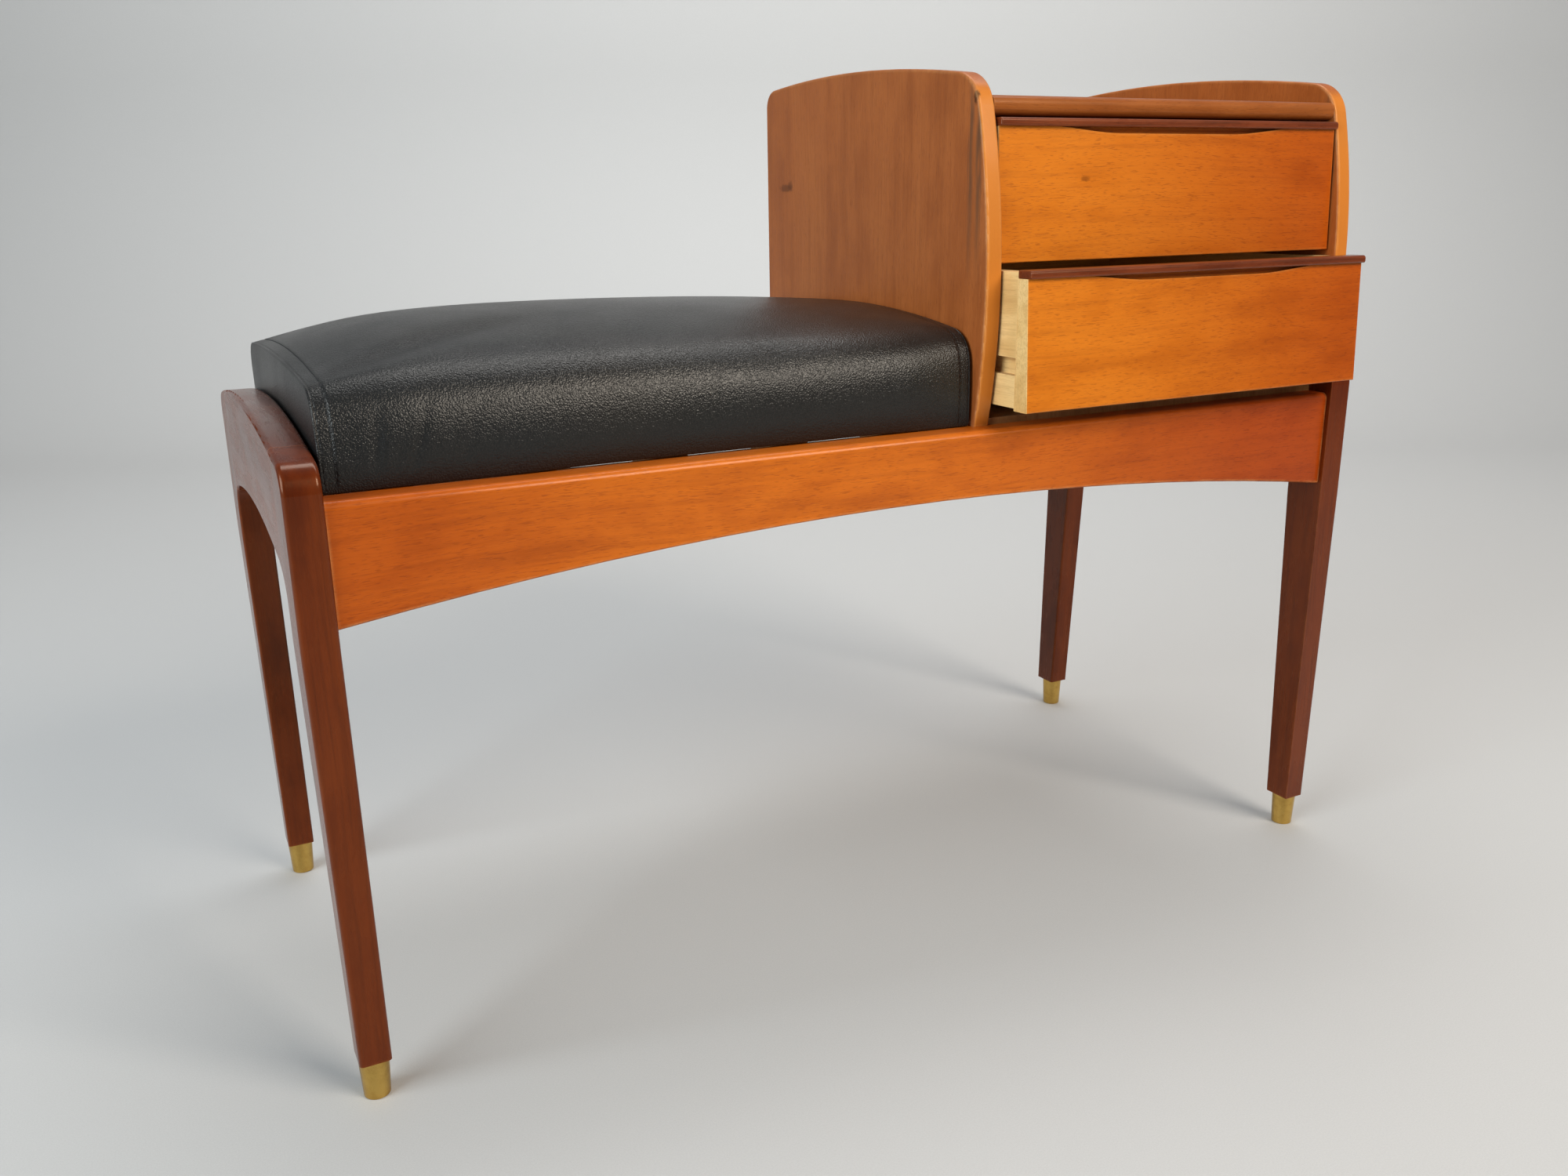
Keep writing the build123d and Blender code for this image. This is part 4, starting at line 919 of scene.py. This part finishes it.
folds = [
    # along, height, half width, half length, depth, lean
    (cover_left + 0.035, cover_base + 0.024, 0.0028, 0.017, 0.0013, 0.12),
    (cover_left + 0.060, cover_base + 0.024, 0.0028, 0.018, 0.0015, 0.33),
    (cover_left + 0.048, cover_base + 0.018, 0.0026, 0.009, 0.0008, 0.30),
    (cover_left + 0.092, cover_base + 0.026, 0.0040, 0.018, 0.0006, 0.40),
]


def sink_of(point):
    """How far the front of the cover sinks at a point, from all folds."""
    total = 0.0
    for along, height, width, length, depth, lean_over in folds:
        up = point.z - height
        side = (point.x - along - lean_over * up) / width
        total += depth * math.exp(-side * side - (up / length) ** 2)
    return total * smooth_step(point.z - cover_base, 0.004, 0.014)


skin = bmesh.new()
skin.from_mesh(cover.data)
for point in skin.verts:
    if point.co.y < cover_front + 0.02 and point.co.z > cover_base + 0.001:
        point.co.y += sink_of(point.co)
for along in seam_lines:
    sew_in(skin, along, seam_depth, seam_width)
for along in stitch_lines:
    sew_in(skin, along, groove_depth, groove_width)
bmesh.ops.recalc_face_normals(skin, faces=skin.faces)
for face in skin.faces:
    face.smooth = True
skin.to_mesh(cover.data)
surface = BVHTree.FromBMesh(skin)
skin.free()
print("cover:", len(cover.data.polygons), "faces")

# %% [markdown]
# Each stitch is a short bead of thread that lies on the cover. Rays are sent out from the middle
# of the cushion's section to find the cover, and a stitch is laid every few millimetres along the
# line they find.

# %% Stitches
stitch_length, stitch_spacing, thread_radius = 0.0030, 0.0042, 0.00045
first_angle, swing, rays = -14, 208, 720  # the fan of rays, in degrees


def line_over(along):
    """Points on the cover, from low on the front over the top to low on the back."""
    middle = Vector((along, middle_back, cover_base + 0.03))
    found = []
    for step in range(rays + 1):
        angle = math.radians(first_angle + step * swing / rays)
        hit, normal, _, _ = surface.ray_cast(middle, Vector((0, -math.cos(angle), math.sin(angle))))
        if hit and hit.z > cover_base + 0.004:
            found.append((hit, normal))
    return found


stitching_shape = bmesh.new()
for along in stitch_lines:
    walked, last = 0.0, None
    for hit, normal in line_over(along):
        if last is not None:
            walked += (hit - last).length
            if walked >= stitch_spacing:
                walked = 0.0
                ahead_here = (hit - last).normalized()
                side = normal.cross(ahead_here).normalized()
                lie = Matrix((ahead_here, side, normal)).transposed().to_4x4()
                size = Matrix.Diagonal((stitch_length / 2, thread_radius, thread_radius, 1))
                bmesh.ops.create_uvsphere(
                    stitching_shape, u_segments=8, v_segments=5, radius=1.0,
                    matrix=Matrix.Translation(hit + normal * 0.0001) @ lie @ size,
                )
        last = hit
for face in stitching_shape.faces:
    face.smooth = True
stitching = into_object("seat_stitching", stitching_shape)
print("stitching:", len(stitching.data.polygons), "faces")

# %% [markdown]
# ## Black leathercloth
# The cover is a vinyl cloth with a fine pebbled grain. Small cells of two sizes make the bump,
# and the crests are a little smoother than the valleys. The crests are also painted a little
# lighter, as a painted highlight. The colour wanders slightly between a warm and a cool black,
# and the surface has a soft sheen rather than a gloss.

# %% Leathercloth and thread
leathercloth, tree, shader, place = open_material("black_leathercloth")
small = {"Vector": place, "Scale": 900.0, "Smoothness": 0.7}
pebbles = put(tree, "ShaderNodeTexVoronoi", small, feature="SMOOTH_F1").outputs["Distance"]
large = {"Vector": place, "Scale": 300.0}
creases = put(tree, "ShaderNodeTexVoronoi", large, feature="DISTANCE_TO_EDGE").outputs["Distance"]
uneven = clouds(tree, place, 520, 3, 0.6).outputs[0]
grain_height = plus(tree, times(tree, uneven, 0.6), between(tree, pebbles, 0.75, 0.1))
grain_height = plus(tree, grain_height, between(tree, creases, 0.0, 0.09, 0.0, 0.3))
cool = between(tree, clouds(tree, place, 5, 3).outputs[0], 0.35, 0.65)
black = blend_colours(tree, cool, colour(0.0070, 0.0060, 0.0050), colour(0.0050, 0.0060, 0.0068))
# the crests of the pebbles are painted lighter: a painted highlight
crest = between(tree, pebbles, 0.6, 0.15)
black = blend_colours(tree, times(tree, crest, 0.35), black, colour(0.022, 0.021, 0.020))
film = place_group(tree, settled_dust, {"Place": place, "Amount": 0.025})
black = blend_colours(tree, film.outputs[0], black, colour(0.45, 0.43, 0.40))
patches = between(tree, clouds(tree, place, 14, 4, 0.6).outputs[0], 0.3, 0.7, 0.31, 0.38)
roughness = maths(tree, "SUBTRACT", patches, times(tree, crest, 0.05))
feed(tree, shader.inputs, {
    "Base Color": black, "Roughness": roughness,
    "Specular IOR Level": 0.38, "Specular Tint": colour(1.0, 0.96, 0.90),
    "Normal": bumped(tree, 0.5, 0.0004, grain_height),
})

black_thread, tree, shader, place = open_material("black_thread")
wave = {"Vector": place, "Scale": 900.0, "Distortion": 2.0}
twist = put(tree, "ShaderNodeTexWave", wave, bands_direction="DIAGONAL").outputs["Fac"]
ply = blend_colours(tree, twist, colour(0.008, 0.008, 0.008), colour(0.020, 0.020, 0.020))
feed(tree, shader.inputs, {
    "Base Color": ply, "Roughness": between(tree, twist, 0.0, 1.0, 0.5, 0.7),
    "Normal": bumped(tree, 0.4, 0.0002, twist),
})

cover.data.materials.clear()
cover.data.materials.append(leathercloth)
stitching.data.materials.append(black_thread)
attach(cover, "bench")
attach(stitching, "bench")
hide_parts("seat_cushion")
print("lowest corner of the cover:", [round(v, 4) for v in cover.bound_box[0]])

# %% [markdown]
# ## Floor, backdrop and light
# The bench stands on a plain pale floor that sweeps up into a backdrop, turned square to the
# camera. The light is soft: a large lamp in front and to the right, a wide one at the left, one
# for the backdrop, and a faint pale sky all round.

# %% Floor
half_floor = 12.0
wall_distance, wall_height, bend_radius = 2.8, 1.8, 0.9  # distance from the middle of the bench

sweep = bmesh.new()
bmesh.ops.create_grid(sweep, x_segments=1, y_segments=1, size=half_floor)
bmesh.ops.translate(sweep, verts=sweep.verts, vec=(0, wall_distance - half_floor, 0))
far_edge = max(sweep.edges, key=lambda e: sum(p.co.y for p in e.verts))
lifted = bmesh.ops.extrude_edge_only(sweep, edges=[far_edge])
raised = [item for item in lifted["geom"] if isinstance(item, bmesh.types.BMVert)]
bmesh.ops.translate(sweep, verts=raised, vec=(0, 0, wall_height))
bend = [e for e in sweep.edges if all(abs(p.co.z) < 1e-6 and p.co.y > 2 for p in e.verts)]
bmesh.ops.bevel(
    sweep, geom=bend, offset=bend_radius, offset_type="OFFSET", segments=16, profile=0.5,
    affect="EDGES", material=-1,
)
bmesh.ops.rotate(sweep, verts=sweep.verts, cent=(0, 0, 0), matrix=Matrix.Rotation(-turn, 3, "Z"))
for face in sweep.faces:
    face.smooth = True
floor = into_object("floor_sweep", sweep)

pale_floor, tree, shader, place = open_material("pale_floor")
speckle = between(tree, clouds(tree, place, 900, 3, 0.6).outputs[0], 0.3, 0.7)
grey = blend_colours(tree, speckle, colour(0.45, 0.448, 0.44), colour(0.49, 0.488, 0.48))
feed(tree, shader.inputs, {
    "Base Color": grey, "Roughness": between(tree, speckle, 0.0, 1.0, 0.62, 0.70),
    "Normal": bumped(tree, 0.1, 0.0003, speckle),
})
floor.data.materials.append(pale_floor)
print("floor:", len(floor.data.polygons), "faces")


# %% Light
def soft_lamp(name, place, aim, size, power, tint):
    """A square lamp at a place, turned towards a point."""
    lamp = bpy.data.lights.new(name, "AREA")
    lamp.shape, lamp.size, lamp.energy, lamp.color = "SQUARE", size, power, tint
    holder = bpy.data.objects.new(name, lamp)
    bpy.context.scene.collection.objects.link(holder)
    holder.location = place
    holder.rotation_euler = (Vector(aim) - Vector(place)).to_track_quat("-Z", "Y").to_euler()


bench_middle = (0.0, 0.0, 0.4)
soft_lamp("key_lamp", (0.95, -2.2, 1.95), bench_middle, 1.3, 74, (1.0, 0.93, 0.84))
soft_lamp("left_lamp", (-2.8, -0.7, 1.5), bench_middle, 2.0, 94, (0.84, 0.94, 1.0))
soft_lamp("wall_lamp", (0.75, 1.0, 3.2), (1.3, 2.6, 1.1), 2.4, 90, (1.0, 1.0, 1.0))
world = bpy.data.worlds.new("studio")
world.use_nodes = True
sky = world.node_tree.nodes["Background"]
feed(world.node_tree, sky.inputs, {"Color": colour(0.93, 0.96, 1.0), "Strength": 0.2})
bpy.context.scene.world = world
bpy.context.scene.view_settings.view_transform = "Standard"
print("lamps and sky ready")
